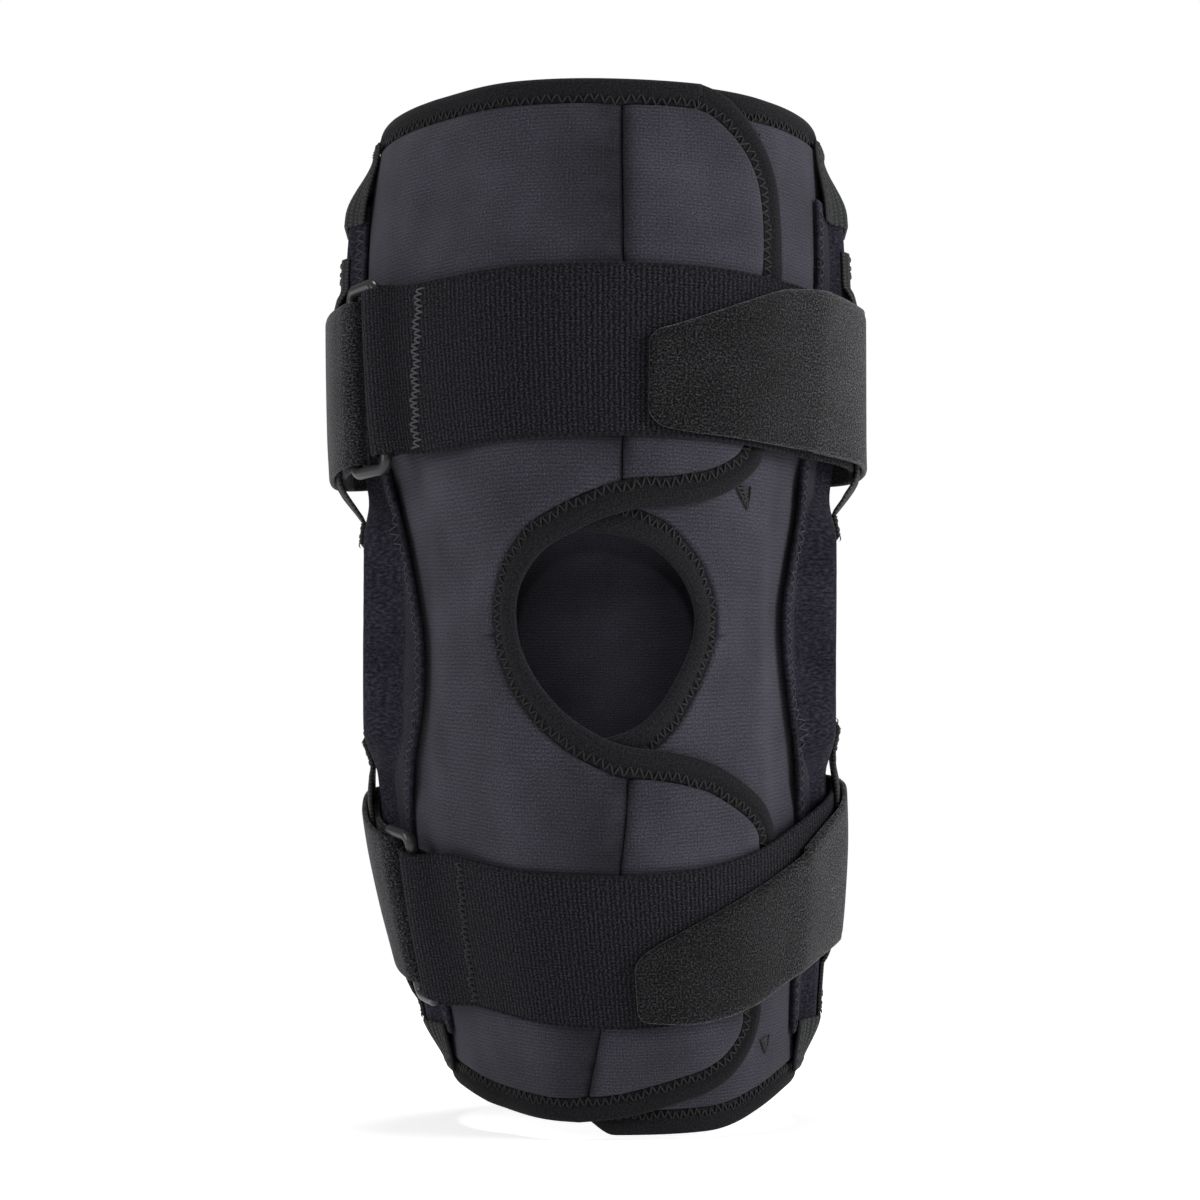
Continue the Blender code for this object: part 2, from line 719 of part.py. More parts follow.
def ring_outline(strap):
    """Rounded rectangle in (angle, z), with its long bars cut into four."""
    middle = curve_at(strap.middle, -69.0)
    half_height = strap.half_width + 1.2 + RING_R
    corner = 3.0
    points = []
    for corner_angle, up, start in ((-65.6, -1, 270), (-65.6, 1, 0), (-73.0, 1, 90), (-73.0, -1, 180)):
        for step in range(4):
            turn = math.radians(start + 30.0 * step)
            points.append((
                corner_angle + 2.6 * math.cos(turn),
                middle + up * (half_height - corner) + corner * math.sin(turn),
            ))
    outline = []
    for point, following in zip(points, points[1:] + points[:1]):
        outline.append(point)
        if abs(following[1] - point[1]) > 20:
            for k in range(1, 4):
                outline.append(tuple(lerp(point[i], following[i], k / 4) for i in range(2)))
    return outline


def strap_ring(strap):
    """The ring that joins the front elastic to the wrap strap, made from a bevelled curve."""
    name = f"strap_ring_{strap.tag}"
    curve = bpy.data.curves.new(name, "CURVE")
    curve.dimensions = "3D"
    curve.bevel_depth = RING_R * MM
    curve.bevel_resolution = 1
    spline = curve.splines.new("POLY")
    outline = ring_outline(strap)
    spline.points.add(len(outline) - 1)
    for point, (angle, z) in zip(spline.points, outline):
        standoff = 9.5 + 0.5 * smooth((-66.0 - angle) / 8.0)
        point.co = (*(strap_point(angle, z, standoff) * MM), 1.0)
    spline.use_cyclic_u = True
    wire = bpy.data.objects.new(f"wire_{strap.tag}", curve)
    helpers.objects.link(wire)
    bpy.context.view_layer.update()
    depsgraph = bpy.context.evaluated_depsgraph_get()
    mesh = bpy.data.meshes.new_from_object(wire.evaluated_get(depsgraph))
    mesh.name = name
    bpy.data.objects.remove(wire, do_unlink=True)
    ring = bpy.data.objects.new(name, mesh)
    solids.objects.link(ring)
    finish(ring, "ring")


for strap in STRAPS:
    ribbon(
        f"front_elastic_{strap.tag}", "elastic", ELASTIC_PATH,
        plain_edge(strap, -1), plain_edge(strap, 1), ELASTIC_T,
    )
    ribbon(
        f"wrap_strap_{strap.tag}", "strap", WRAP_PATH,
        wrap_edge(strap, -1), wrap_edge(strap, 1), STRAP_T,
    )
    tab_path = [(lerp(TAB_HINGE - 0.4, strap.tab_end, k / 7), TAB_STANDOFF) for k in range(8)]
    ribbon(
        f"hook_tab_{strap.tag}", "tab", tab_path,
        tab_edge(strap, -1), tab_edge(strap, 1), TAB_T,
    )
    strap_ring(strap)


# ------------------------------------------------------------------ strap keepers
def keeper(name, side, z_from, z_to, strap_low, strap_high):
    """Upright woven strip on the pocket, with a strap passing under its middle."""

    def spot(across, up):
        z = lerp(z_from, z_to, up)
        angle = 90 + lerp(-9.0, 9.0, across)
        base = pocket_inner(side, angle, z, POCKET_SKIN + 1.1)
        over = flat_point(side * angle, z, 11.75 + flare(angle, z))
        if over.x * side <= base.x * side:
            return lean(base)
        lift = smooth((z - strap_low + 10.0) / 7.0) * smooth((strap_high + 10.0 - z) / 7.0)
        return lean(base.lerp(over, lift))

    sheet(f"strap_keeper_{name}", "webbing", (4, 14), spot, WEBBING)


keeper("left_upper", -1, 32.0, 112.0, 43.8, 94.4)
keeper("right_upper", 1, 32.0, 114.0, 46.4, 95.8)
keeper("left_lower", -1, -115.0, -32.0, -102.4, -49.6)
keeper("right_lower", 1, -114.0, -32.0, -91.2, -44.6)


# ------------------------------------------------------------------ side hinges
# Distances from the middle plane out: pad face, inner plate, arms, outer plate
PLATE_T = 1.2
PLATE_GAP = 0.25
PLATE_R = 15.0
ARM_T = 2.5
PLATE_IN_X = 62.2
PAD_FACE_X = PLATE_IN_X - 0.3
ARM_X = PLATE_IN_X + PLATE_T + PLATE_GAP
PLATE_OUT_X = ARM_X + ARM_T + PLATE_GAP
ARM_MID_X = ARM_X + ARM_T / 2

ARM_W = 16.0
ARM_END_W = 13.0
ARM_TAPER_Z = 30.0  # above the pivot, where the bar starts to narrow
ARM_TIP = 5.0  # the rounded tip starts this far short of the arm's reach
ARM_SLICES = (20.0, 25.0, 30.0, 35.0, 44.0, 56.0, 70.0, 85.0, 97.0)  # cuts that let it bend
HUB_R = 8.9

RIVET_R = 3.0
RIVET_HOLE_R = RIVET_R + 0.08

TOOTH_STEP = 30.0  # degrees from tooth to tooth
TOOTH_MODULE = 2 * PIVOT_Z * TOOTH_STEP / 360
PRESSURE_ANGLE = math.radians(20)
TOOTH_THINNING = 0.86  # leaves play between the teeth


def involute(angle):
    return math.tan(angle) - angle


def tooth_outline(centre):
    """One gear tooth about the hinge pivot, as (angle in radians, radius), root to root."""
    pitch_r = PIVOT_Z
    base_r = pitch_r * math.cos(PRESSURE_ANGLE)
    tip_r, root_r = pitch_r + 1.15, pitch_r - 1.65
    pitch_half = math.pi * TOOTH_MODULE / (4 * pitch_r) * TOOTH_THINNING
    base_half = pitch_half + involute(PRESSURE_ANGLE)
    flank = []
    for radius in (root_r, base_r, base_r + 0.25, pitch_r, pitch_r + 0.6, tip_r):
        roll = math.acos(base_r / radius) if radius > base_r else 0.0
        flank.append((base_half - involute(roll), radius))
    middle = math.radians(centre)
    rising = [(middle - away, radius) for away, radius in flank]
    falling = [(middle + away, radius) for away, radius in reversed(flank)]
    return rising + falling


def arm_outline(reach, tooth_centres):
    """Upper arm in (y, z) about its pivot: geared hub at the bottom, bar going up."""
    hub_start = math.asin(ARM_W / 2 / HUB_R) - math.pi
    arc = [lerp(hub_start, math.radians(-76), k / 5) for k in range(6)]
    polar = [(angle, HUB_R) for angle in arc]
    for centre in tooth_centres:
        polar += tooth_outline(centre)
    polar += [(-angle, HUB_R) for angle in reversed(arc)]
    points = [(radius * math.sin(angle), -radius * math.cos(angle)) for angle, radius in polar]

    tip_z, tip_r = reach - ARM_TIP, ARM_END_W / 2
    points += [(ARM_W / 2, ARM_TAPER_Z), (tip_r, tip_z)]
    for k in range(1, 8):
        angle = math.pi * k / 8
        points.append((tip_r * math.cos(angle), tip_z + tip_r * math.sin(angle)))
    points += [(-tip_r, tip_z), (-ARM_W / 2, ARM_TAPER_Z)]
    return points


def bore(obj, cutter_name, x, z, half_length):
    """Cuts a rivet hole along X with a hidden cylinder."""
    bm = bmesh.new()
    bmesh.ops.create_cone(
        bm, cap_ends=True, cap_tris=False, segments=24,
        radius1=RIVET_HOLE_R * MM, radius2=RIVET_HOLE_R * MM, depth=2 * half_length * MM,
    )
    cutter = link(cutter_name, bm, helpers)
    cutter.data.transform(Matrix.Rotation(math.radians(90), 4, "Y"))
    cutter.location = Vector((x, 0, z)) * MM
    cutter.hide_render = True
    cutter.display_type = "WIRE"
    cut = obj.modifiers.new("Bore", "BOOLEAN")
    cut.operation = "DIFFERENCE"
    cut.solver = "EXACT"
    cut.object = cutter


def arm(name, side, up, reach, tooth_centres):
    """Hinge arm with its origin at its pivot; up is 1 for the upper arm, -1 for the lower."""
    bm = bmesh.new()
    verts = [bm.verts.new((0.0, y, up * z)) for y, z in arm_outline(reach, tooth_centres)]
    outer = extruded_verts(bm, [bm.faces.new(verts)])
    bmesh.ops.translate(bm, vec=(ARM_T, 0, 0), verts=outer)
    bmesh.ops.recalc_face_normals(bm, faces=bm.faces)
    for z in ARM_SLICES:
        if z < reach - ARM_TIP - 1:
            everything = bm.verts[:] + bm.edges[:] + bm.faces[:]
            bmesh.ops.bisect_plane(
                bm, geom=everything, plane_co=(0, 0, up * z), plane_no=(0, 0, 1)
            )
    # The bar jogs from the hinge plane to lie along the leg.
    for vert in bm.verts:
        through, y, z = vert.co
        leg_z = z + up * PIVOT_Z
        jog = smooth((abs(leg_z) - 30.0) / 16.0)
        leg_x = curve_at(HALF_WIDTH, leg_z) + NEOPRENE + 0.7
        x = lerp(ARM_X, leg_x, jog) + through
        vert.co = (side * x + curve_at(AXIS_X, leg_z) * jog, y, z)
    if side < 0:  # mirroring has turned the faces inside out
        bmesh.ops.reverse_faces(bm, faces=bm.faces)
    bmesh.ops.recalc_face_normals(bm, faces=bm.faces)
    tilt = Matrix.Rotation(math.radians(-up * REST_LEAN), 3, "X")
    bmesh.ops.rotate(bm, cent=(0, 0, 0), matrix=tilt, verts=bm.verts)
    bmesh.ops.scale(bm, vec=(MM, MM, MM), verts=bm.verts)
    obj = link(name, bm)
    obj.location = (0, 0, up * PIVOT_Z * MM)
    bore(obj, f"cut_{name}", side * ARM_MID_X, up * PIVOT_Z, half_length=4)
    finish(obj, "aluminium")


def stadium(radius, steps=9):
    """Outline in (y, z) round both pivots."""
    outline = []
    for up, start in ((1, 0.0), (-1, math.pi)):
        for k in range(steps + 1):
            angle = start + math.pi * k / steps
            outline.append((radius * math.cos(angle), up * PIVOT_Z + radius * math.sin(angle)))
    return outline


def plate(name, side, x_inner):
    bm = bmesh.new()
    verts = [bm.verts.new((side * x_inner * MM, y * MM, z * MM)) for y, z in stadium(PLATE_R)]
    outer = extruded_verts(bm, [bm.faces.new(verts)])
    bmesh.ops.translate(bm, vec=(side * PLATE_T * MM, 0, 0), verts=outer)
    bmesh.ops.recalc_face_normals(bm, faces=bm.faces)
    obj = link(name, bm)
    for tag, z in (("a", PIVOT_Z), ("b", -PIVOT_Z)):
        bore(obj, f"cut_{name}_{tag}", side * (x_inner + PLATE_T / 2), z, half_length=3)
    finish(obj, "aluminium")


def rivet(name, side, z):
    """Turned rivet: straight shank through both plates, low head outside the outer one."""
    shank_end, head = PLATE_IN_X - 0.15, PLATE_OUT_X + PLATE_T + 0.1
    profile = [  # (radius, distance from the middle plane)
        (0.0, shank_end), (RIVET_R, shank_end), (RIVET_R, head), (5.2, head),
        (5.2, head + 0.25), (4.2, head + 0.5), (0.0, head + 0.6),
    ]
    bm = bmesh.new()
    verts = [bm.verts.new((radius * MM, 0, x * MM)) for radius, x in profile]
    for pair in zip(verts, verts[1:]):
        bm.edges.new(pair)
    obj = link(name, bm)
    turn = obj.modifiers.new("Turn", "SCREW")
    turn.steps = 24
    turn.render_steps = 24
    turn.axis = "Z"
    turn.use_merge_vertices = True
    turn.merge_threshold = 1e-5
    turn.use_normal_calculate = True
    obj.rotation_euler = (0, math.radians(90 * side), 0)
    obj.location = (0, 0, z * MM)
    finish(obj, "rivet")


def pad(name, side):
    """Soft condyle pad: flat towards the inner plate, shaped to the leg on its other face."""
    bm = bmesh.new()
    bmesh.ops.create_grid(bm, x_segments=6, y_segments=8, size=0.5)
    for vert in bm.verts:
        z = vert.co.y * 2 * (PIVOT_Z + PLATE_R - 0.6)
        past_pivot = max(0.0, abs(z) - PIVOT_Z)
        y = vert.co.x * 2 * math.sqrt(max(PLATE_R**2 - past_pivot**2, 1.0))
        depth = curve_at(DEPTH_FRONT if y < 0 else DEPTH_BACK, z)
        angle = math.degrees(math.acos(max(-1.0, min(1.0, -y / depth))))
        leg_x = flat_point(angle, z, NEOPRENE + 0.9).x
        vert.co = (min(leg_x, PAD_FACE_X - 0.3), y, z)
    for vert in extruded_verts(bm, bm.faces[:]):
        vert.co.x = PAD_FACE_X
    for vert in bm.verts:
        vert.co = Vector((side * vert.co.x, vert.co.y, vert.co.z)) * MM
    bmesh.ops.recalc_face_normals(bm, faces=bm.faces)
    finish(link(name, bm), "pad")


# The lower arm's teeth sit half a step round, so that they mesh with the upper arm's.
UPPER_TEETH = [TOOTH_STEP * k for k in (-2, -1, 0, 1, 2)]
LOWER_TEETH = [TOOTH_STEP * k for k in (-1.5, -0.5, 0.5, 1.5)]
for side, label in SIDES:
    arm(f"hinge_arm_{label}_upper", side, 1, 108.0, UPPER_TEETH)
    arm(f"hinge_arm_{label}_lower", side, -1, 98.0, LOWER_TEETH)
    plate(f"hinge_plate_{label}_inner", side, PLATE_IN_X)
    plate(f"hinge_plate_{label}_outer", side, PLATE_OUT_X)
    rivet(f"hinge_rivet_{label}_upper", side, PIVOT_Z)
    rivet(f"hinge_rivet_{label}_lower", side, -PIVOT_Z)
    pad(f"condyle_pad_{label}", side)


# ------------------------------------------------------------------ joint axes
def axis_empty(name, place, children):
    """An empty on a joint's axis, carrying the parts that move about it."""
    empty = bpy.data.objects.new(name, None)
    empty.empty_display_size = 0.02
    empty.location = Vector(place) * MM
    solids.objects.link(empty)
    bpy.context.view_layer.update()
    for child in children:
        obj = bpy.data.objects[child]
        obj.parent = empty
        obj.matrix_parent_inverse = empty.matrix_world.inverted()


for side, label in SIDES:
    axis_empty(f"axis_{label}_upper_pivot", (side * ARM_MID_X, 0, PIVOT_Z), [
        f"hinge_plate_{label}_inner",
        f"hinge_plate_{label}_outer",
        f"hinge_rivet_{label}_upper",
        f"hinge_rivet_{label}_lower",
        f"condyle_pad_{label}",
    ])
    axis_empty(
        f"axis_{label}_lower_pivot", (side * ARM_MID_X, 0, -PIVOT_Z),
        [f"hinge_arm_{label}_lower"],
    )
for strap in STRAPS:
    tab_z = (curve_at(strap.tab_top, TAB_HINGE) + curve_at(strap.tab_low, TAB_HINGE)) / 2
    axis_empty(
        f"axis_hook_tab_{strap.tag}", on_leg(TAB_HINGE, tab_z, 11.4), [f"hook_tab_{strap.tag}"]
    )


# ------------------------------------------------------------------ origin
root = bpy.data.objects.new("brace_frame", None)
root.location = -Vector(BOX_CENTRE) * MM
solids.objects.link(root)
for obj in list(solids.objects) + list(helpers.objects):
    if obj.parent is None and obj is not root:
        obj.parent = root
bpy.context.view_layer.update()
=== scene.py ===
"""Looks of a hinged knee brace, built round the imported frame.

Shapes are laid out in mm from the knee centre on the surface of the leg: angle phi in
degrees (0 at the front, -Y, and +90 at +X), height z, and distance off the leg. Left is -X
and right is +X. Straps run on past phi = -180 round the back. world() turns all this into
the frame's metres. Textiles that cross the knee are made as an upper and a lower half.
"""

import math
from functools import cached_property

import bpy
import numpy as np
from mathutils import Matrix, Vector
from mathutils.geometry import delaunay_2d_cdt

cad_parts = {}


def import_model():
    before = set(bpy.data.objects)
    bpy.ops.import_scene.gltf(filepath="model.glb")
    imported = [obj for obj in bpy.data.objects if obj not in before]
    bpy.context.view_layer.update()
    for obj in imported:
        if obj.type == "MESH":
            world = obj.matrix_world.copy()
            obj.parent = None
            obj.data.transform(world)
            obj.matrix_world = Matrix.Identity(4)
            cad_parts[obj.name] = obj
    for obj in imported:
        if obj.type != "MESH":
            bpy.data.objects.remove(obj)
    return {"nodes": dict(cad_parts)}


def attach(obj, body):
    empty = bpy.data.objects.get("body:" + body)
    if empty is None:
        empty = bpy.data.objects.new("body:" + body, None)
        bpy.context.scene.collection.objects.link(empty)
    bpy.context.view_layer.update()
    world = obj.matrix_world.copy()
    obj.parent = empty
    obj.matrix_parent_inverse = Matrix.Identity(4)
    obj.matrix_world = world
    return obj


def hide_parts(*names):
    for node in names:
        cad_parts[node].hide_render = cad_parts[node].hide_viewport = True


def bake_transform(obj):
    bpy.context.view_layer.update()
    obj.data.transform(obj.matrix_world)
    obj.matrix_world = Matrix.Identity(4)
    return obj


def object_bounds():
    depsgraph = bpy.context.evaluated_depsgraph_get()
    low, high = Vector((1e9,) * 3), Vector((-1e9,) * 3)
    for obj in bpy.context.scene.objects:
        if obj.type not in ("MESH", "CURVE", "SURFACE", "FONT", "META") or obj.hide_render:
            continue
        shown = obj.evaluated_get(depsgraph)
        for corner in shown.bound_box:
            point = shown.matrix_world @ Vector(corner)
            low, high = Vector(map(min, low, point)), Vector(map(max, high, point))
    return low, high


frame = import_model()
box_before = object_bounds()

# ------------------------------------------------------------------ sizes shared with the CAD, mm
CENTRE = np.array((-1.27, 8.44, 6.48))  # where the frame's origin lies
PIVOT_Z = 9.0  # hinge axes, above and below the knee centre
REST_LEAN = 7.0  # degrees that thigh and shank each lean at rest
BEND_SPAN = 55.0  # height over which that lean grows
NEOPRENE = 3.0
GAP = 0.4
OVERLAP = NEOPRENE + GAP + 0.12  # height of a piece that lies over another
POCKET_SKIN = 1.6
POCKET_HINGE_X = 68.5
POCKET_ARM_OFF = 7.0
POCKET_LOW, POCKET_HIGH = -118.0, 127.0
MM_PER_DEG = 1.08  # mm of leg surface per degree, for laying pieces out flat
FLAT = np.array((MM_PER_DEG, 1.0))  # turns (phi, z) into flat mm
TAPE = 7.3  # width of the edge tape
TOP_Z = 151.5
TOP_SEW = TOP_Z - TAPE
UPPER_HALF, LOWER_HALF = 24.2, 22.6  # half widths of the straps


# ------------------------------------------------------------------ curves
def smooth(t):
    t = np.clip(t, 0.0, 1.0)
    return t * t * (3.0 - 2.0 * t)


def hermite(t, start, end, slope_start, slope_end, span=1.0):
    return (
        (2 * t**3 - 3 * t * t + 1) * start
        + (t**3 - 2 * t * t + t) * span * slope_start
        + (3 * t * t - 2 * t**3) * end
        + (t**3 - t * t) * span * slope_end
    )


def curve(rows):
    """A smooth curve through (place, value) rows, as a function that takes arrays."""
    places, values = np.array(rows, float).T
    n = len(places)
    behind = np.maximum(np.arange(n) - 1, 0)
    ahead = np.minimum(np.arange(n) + 1, n - 1)
    slopes = (values[ahead] - values[behind]) / (places[ahead] - places[behind])
    fine = np.linspace(places[0], places[-1], 1500)
    k = np.clip(np.searchsorted(places, fine, side="right") - 1, 0, n - 2)
    span = places[k + 1] - places[k]
    t = (fine - places[k]) / span
    fitted = hermite(t, values[k], values[k + 1], slopes[k], slopes[k + 1], span)
    return lambda place: np.interp(place, fine, fitted)


# Leg sections: (z, mm)
half_width = curve([
    (-142, 49), (-120, 49.5), (-100, 52), (-80, 55.3), (-60, 57.6), (-35, 58.4), (-24, 58),
    (0, 57), (24, 58), (42, 60.5), (60, 63.5), (85, 66), (105, 66.5), (125, 65.5), (155, 62.5),
])
depth_front = curve([
    (-142, 49.5), (-100, 54), (-60, 58.5), (-30, 61.5), (0, 64), (30, 65.5), (60, 66.5),
    (100, 69.5), (155, 71),
])
depth_back = curve([(-142, 52), (-100, 58), (-60, 55), (0, 52), (60, 57), (100, 62), (155, 68)])
axis_x = curve([
    (-142, 7.8), (-120, 6.8), (-100, 5.2), (-60, 2), (-30, 0), (30, 0), (60, -1), (120, -1.2),
    (155, 0),
])

# Straps' middle lines and the upper and lower edges of their hook tabs: (phi, z)
upper_mid = curve([
    (-180, 79), (-135, 75.5), (-100, 69), (-82, 69.5), (-60, 72.2), (-45, 71.4), (-20, 72.4),
    (5, 73), (27, 73), (45, 72.2), (66, 71.4), (90, 71), (105, 71.5), (140, 76), (180, 79),
])
lower_mid = curve([
    (-180, -73), (-135, -74), (-100, -72), (-82, -77), (-60, -82.6), (-45, -81.8), (-20, -83.8),
    (5, -84.3), (28, -82.6), (42, -79.8), (56, -75.4), (75, -70), (90, -68), (110, -68.5),
    (140, -71), (180, -73),
])
up_tab_top = curve([
    (11, 77.6), (18, 80.4), (26.7, 84.6), (36, 89.4), (45, 93.6), (52, 95.2), (60, 96.2),
    (75, 95.6), (90, 94.2),
])
up_tab_low = curve([(11, 53), (17, 50.4), (38.6, 49), (60, 48.6), (90, 47.8)])
lo_tab_top = curve([(4.5, -87.2), (12, -81.6), (32.7, -71), (52, -62.5), (70, -53), (90, -45.6)])
lo_tab_low = curve([
    (4.5, -104.8), (22, -106.2), (40, -103), (55.6, -96.6), (80, -90.6), (90, -90.2),
])

# Strap paths: (phi, distance off the leg). Both run round the ring near phi -69.
ELASTIC_PATH = [
    (-46, 4.35), (-53, 4.5), (-58.5, 5.6), (-63, 6.5), (-65.2, 7.3), (-65.9, 9.5),
    (-65.2, 11.7), (-63, 12.5), (-58, 10.8), (-52, 7.9), (-46.5, 6.4), (-40, 6.2), (-33, 6.4),
    (-27, 7.2), (-20, 7.75), *((-13 + 7 * k, 7.75) for k in range(10)),
    (57, 7.8), (63, 8.2), (69, 9.2), (75, 10.3), (81, 10.6), (88, 10.6), (96, 10.6),
]
WRAP_PATH = [
    (-101, 10.6), (-95, 10.6), (-89, 10.6), (-84, 10.6), (-80.5, 10.2), (-78, 8.9),
    (-76, 7.05), (-73.6, 7.6), (-72.5, 10), (-73.6, 12.4), (-76, 13.25), (-79.5, 14.1),
    (-85, 14.3), (-91, 14.3), (-97, 14.3), (-102, 14.1), (-108, 12.2), (-115, 9), (-123, 6),
    (-131, 4.75), *((-131 - 9 * k, 4.75) for k in range(1, 11)),
    (-229, 4.75), (-237, 6), (-245, 9), (-252, 12.2), (-258, 14.1), (-263, 14.3),
    (-270, 14.3), (-277, 14.3), (-282, 13.8), (-288, 12.4), (-294, 11.2), (-301, 10.4),
]

# Hinge pocket edges, for each side: (z, degrees before or behind the hinge line)
front_edge = {
    -1: curve([
        (-131, 19), (-100, 20.5), (-54, 24), (-40, 27), (-28, 31), (-16, 33.5), (0, 32),
        (16, 27), (24, 24.2), (33, 21), (43, 18.6), (75, 15), (100, 13), (131, 11.5),
    ]),
    1: curve([
        (-131, 19), (-100, 21), (-54, 23.5), (-36, 22.5), (-20, 25.5), (-5, 28), (8, 28.5),
        (20, 25.5), (32, 22.5), (49, 23.5), (75, 23), (102, 22), (131, 20),
    ]),
}
rear_edge = curve([(-131, 18), (-60, 21), (-34, 27), (0, 32), (34, 26), (60, 21), (131, 18)])

# Free edge of the left front, (phi, z): round the upper flap, down the patella opening's
# left side, round the lower flap.
EDGE_LEFT = [
    (25.3, 151.4), (30.5, 149.6), (36, 145.6), (40.8, 140.6), (44.6, 134.6), (47.2, 127.5),
    (48.3, 119), (48.6, 99), (48.2, 75), (48, 58), (46.6, 49), (42.6, 41.6), (36.5, 36.8),
    (30, 34), (20, 31.9), (9.5, 30.9), (2.8, 29.3), (-1.5, 27.9), (-6, 26), (-15, 21.4),
    (-20.9, 14.3), (-22.8, 8), (-21.9, -1.4), (-18.2, -9.8), (-10.6, -18.5), (-0.8, -24.8),
    (6.8, -27.6), (18, -29.2), (31, -32.8), (41, -39), (48, -46), (51.4, -55), (50.8, -75),
    (47.6, -98), (43.4, -114.5), (37.5, -122.5), (30, -127.4), (16, -131.4), (0, -134.8),
    (-14.2, -136.6),
]
# The opening's right side, (phi, z)
EDGE_RIGHT = [
    (-9, 25.4), (-2, 25.8), (5.3, 24.9), (11, 23.4), (16.2, 21.1), (23.5, 14.4), (27.4, 6.3),
    (27.3, -0.5), (25.8, -5.5), (18.6, -16.9), (11.3, -22.8), (4, -25.4), (-4, -26.6),
]
# Front seam below the opening, (z, phi)
seam_low = curve([
    (-133, -12.2), (-123, -10), (-109, -6), (-85, -1.2), (-62, 3.2), (-45, 6), (-33, 7.4),
])


# ------------------------------------------------------------------ the leg surface
def flat_point(phi, z, off):
    """A place on the straight leg."""
    phi, z, off = np.broadcast_arrays(np.asarray(phi, float), z, off)
    sin, cos = np.sin(np.radians(phi)), np.cos(np.radians(phi))
    wide = half_width(z)
    deep = np.where(cos >= 0, depth_front(z), depth_back(z))
    out_x, out_y = sin / wide, -cos / deep
    length = np.hypot(out_x, out_y)
    x = axis_x(z) + wide * sin + off * out_x / length
    y = -deep * cos + off * out_y / length
    return np.stack([x, y, z], -1)


def lean(points):
    """Leans thigh and shank about their hinge axes."""
    x, y, z = points[..., 0], points[..., 1], points[..., 2]
    up = z >= 0
    pivot = np.where(up, PIVOT_Z, -PIVOT_Z)
    turn = REST_LEAN * (1.0 - smooth((BEND_SPAN - np.abs(z)) / BEND_SPAN))
    angle = np.radians(np.where(up, -turn, turn))
    cos, sin = np.cos(angle), np.sin(angle)
    return np.stack(
        [x, y * cos - (z - pivot) * sin, pivot + y * sin + (z - pivot) * cos], -1
    )


def on_leg(phi, z, off):
    return lean(flat_point(phi, z, off))


def flare(phi, z):
    """How far the upper strap stands off at the sides, where it hangs straight while the
    leg narrows under it."""
    side = smooth((np.abs(phi) - 52.0) / 26.0) * smooth((142.0 - np.abs(phi)) / 20.0)
    narrowing = half_width(97.0) - half_width(np.minimum(z, 97.0))
    return np.where(np.asarray(z) < 0, 0.0, 0.85 * side * narrowing)


def strap_point(phi, z, off):
    """A place on a strap; the loop round the ring sits a little further to the front."""
    phi = np.asarray(phi, float)
    at = np.where(phi < -180, phi + 360, phi)
    lower_shift = 2.5 + np.clip((z + 82.0) / LOWER_HALF, -1, 1) * 2.2
    near_ring = smooth((at + 92.0) / 16.0), smooth((-48.0 - at) / 15.0)
    forward = np.where(np.asarray(z) > 0, 5.0, lower_shift) * near_ring[0] * near_ring[1]
    return on_leg(phi + forward, z, off + flare(at, z))


def world(points):
    return (np.asarray(points, float) - CENTRE) * 0.001


def left_lift(phi):
    """The left front rises over the edge of the right front that lies under it."""
    return OVERLAP * smooth((phi + 46.0) / 26.0)


def wrap180(phi):
    return np.where(phi < -180, phi + 360, np.where(phi > 180, phi - 360, phi))


def relief(phi, z):
    """Soft swell of the neoprene beside the straps and slow waves over the open areas."""
    at = wrap180(phi)

    def with_tab(start, plain, tab, pick):
        return np.where(at > start, pick(tab(at), plain), plain)

    upper, lower = upper_mid(at), lower_mid(at)
    bands = (
        (with_tab(9, upper + UPPER_HALF, up_tab_top, np.maximum), upper - UPPER_HALF),
        (
            with_tab(4, lower + LOWER_HALF, lo_tab_top, np.maximum),
            with_tab(4, lower - LOWER_HALF, lo_tab_low, np.minimum),
        ),
    )
    swell, free = 0.0, 1.0
    for top, low in bands:
        off = np.maximum(z - top, low - z)
        bulge = smooth(off / 5.0) * np.exp(-np.maximum(off, 0.0) / 13.0)
        swell = swell + np.where(off > 0, bulge, 0.0)
        free = free * smooth((off - 0.5) / 9.0)
    waves = (
        np.sin(0.083 * phi + 0.047 * z + 0.4) * np.sin(0.071 * z - 0.03 * phi + 1.1)
        + 0.6 * np.sin(0.031 * phi - 0.118 * z + 2.0)
    )
    side = smooth((np.abs(at) - 43.0) / 10.0) * (1.0 - smooth((np.abs(at) - 126.0) / 12.0))
    return (0.95 * swell + 1.0 * free * waves) * (1.0 - side)


def pocket_inner(side, phi, z, extra=0.0):
    """Inside face of the pocket cover at side angle phi (90 is the hinge line)."""
    low = flat_point(side * phi, z, NEOPRENE + GAP + extra)
    wide = smooth((42.0 - np.abs(z)) / 15.0)
    half, ramp = 8.7 + 8.7 * wide, 5.0 + 2.0 * wide
    x_arm = half_width(z) + POCKET_ARM_OFF
    x_face = x_arm + (np.maximum(POCKET_HINGE_X, x_arm) - x_arm) * wide + extra
    y = flat_point(side * phi, z, 0.0)[..., 1]
    rise = smooth((half + ramp - np.abs(y)) / ramp)[..., None]
    top = np.stack([axis_x(z) + side * x_face, y, z], -1)
    return low + (top - low) * rise


# ------------------------------------------------------------------ lines laid out flat, (phi, z)
def unit(vectors, least=0.0):
    return vectors / np.maximum(np.linalg.norm(vectors, axis=-1), least)[..., None]


def run_along(points):
    """Distance from the first point to each point of a polyline."""
    return np.concatenate([[0], np.cumsum(np.linalg.norm(np.diff(points, axis=0), axis=1))])


def pick_at(places, run, rows):
    return np.stack([np.interp(places, run, rows[:, i]) for i in (0, 1)], -1)


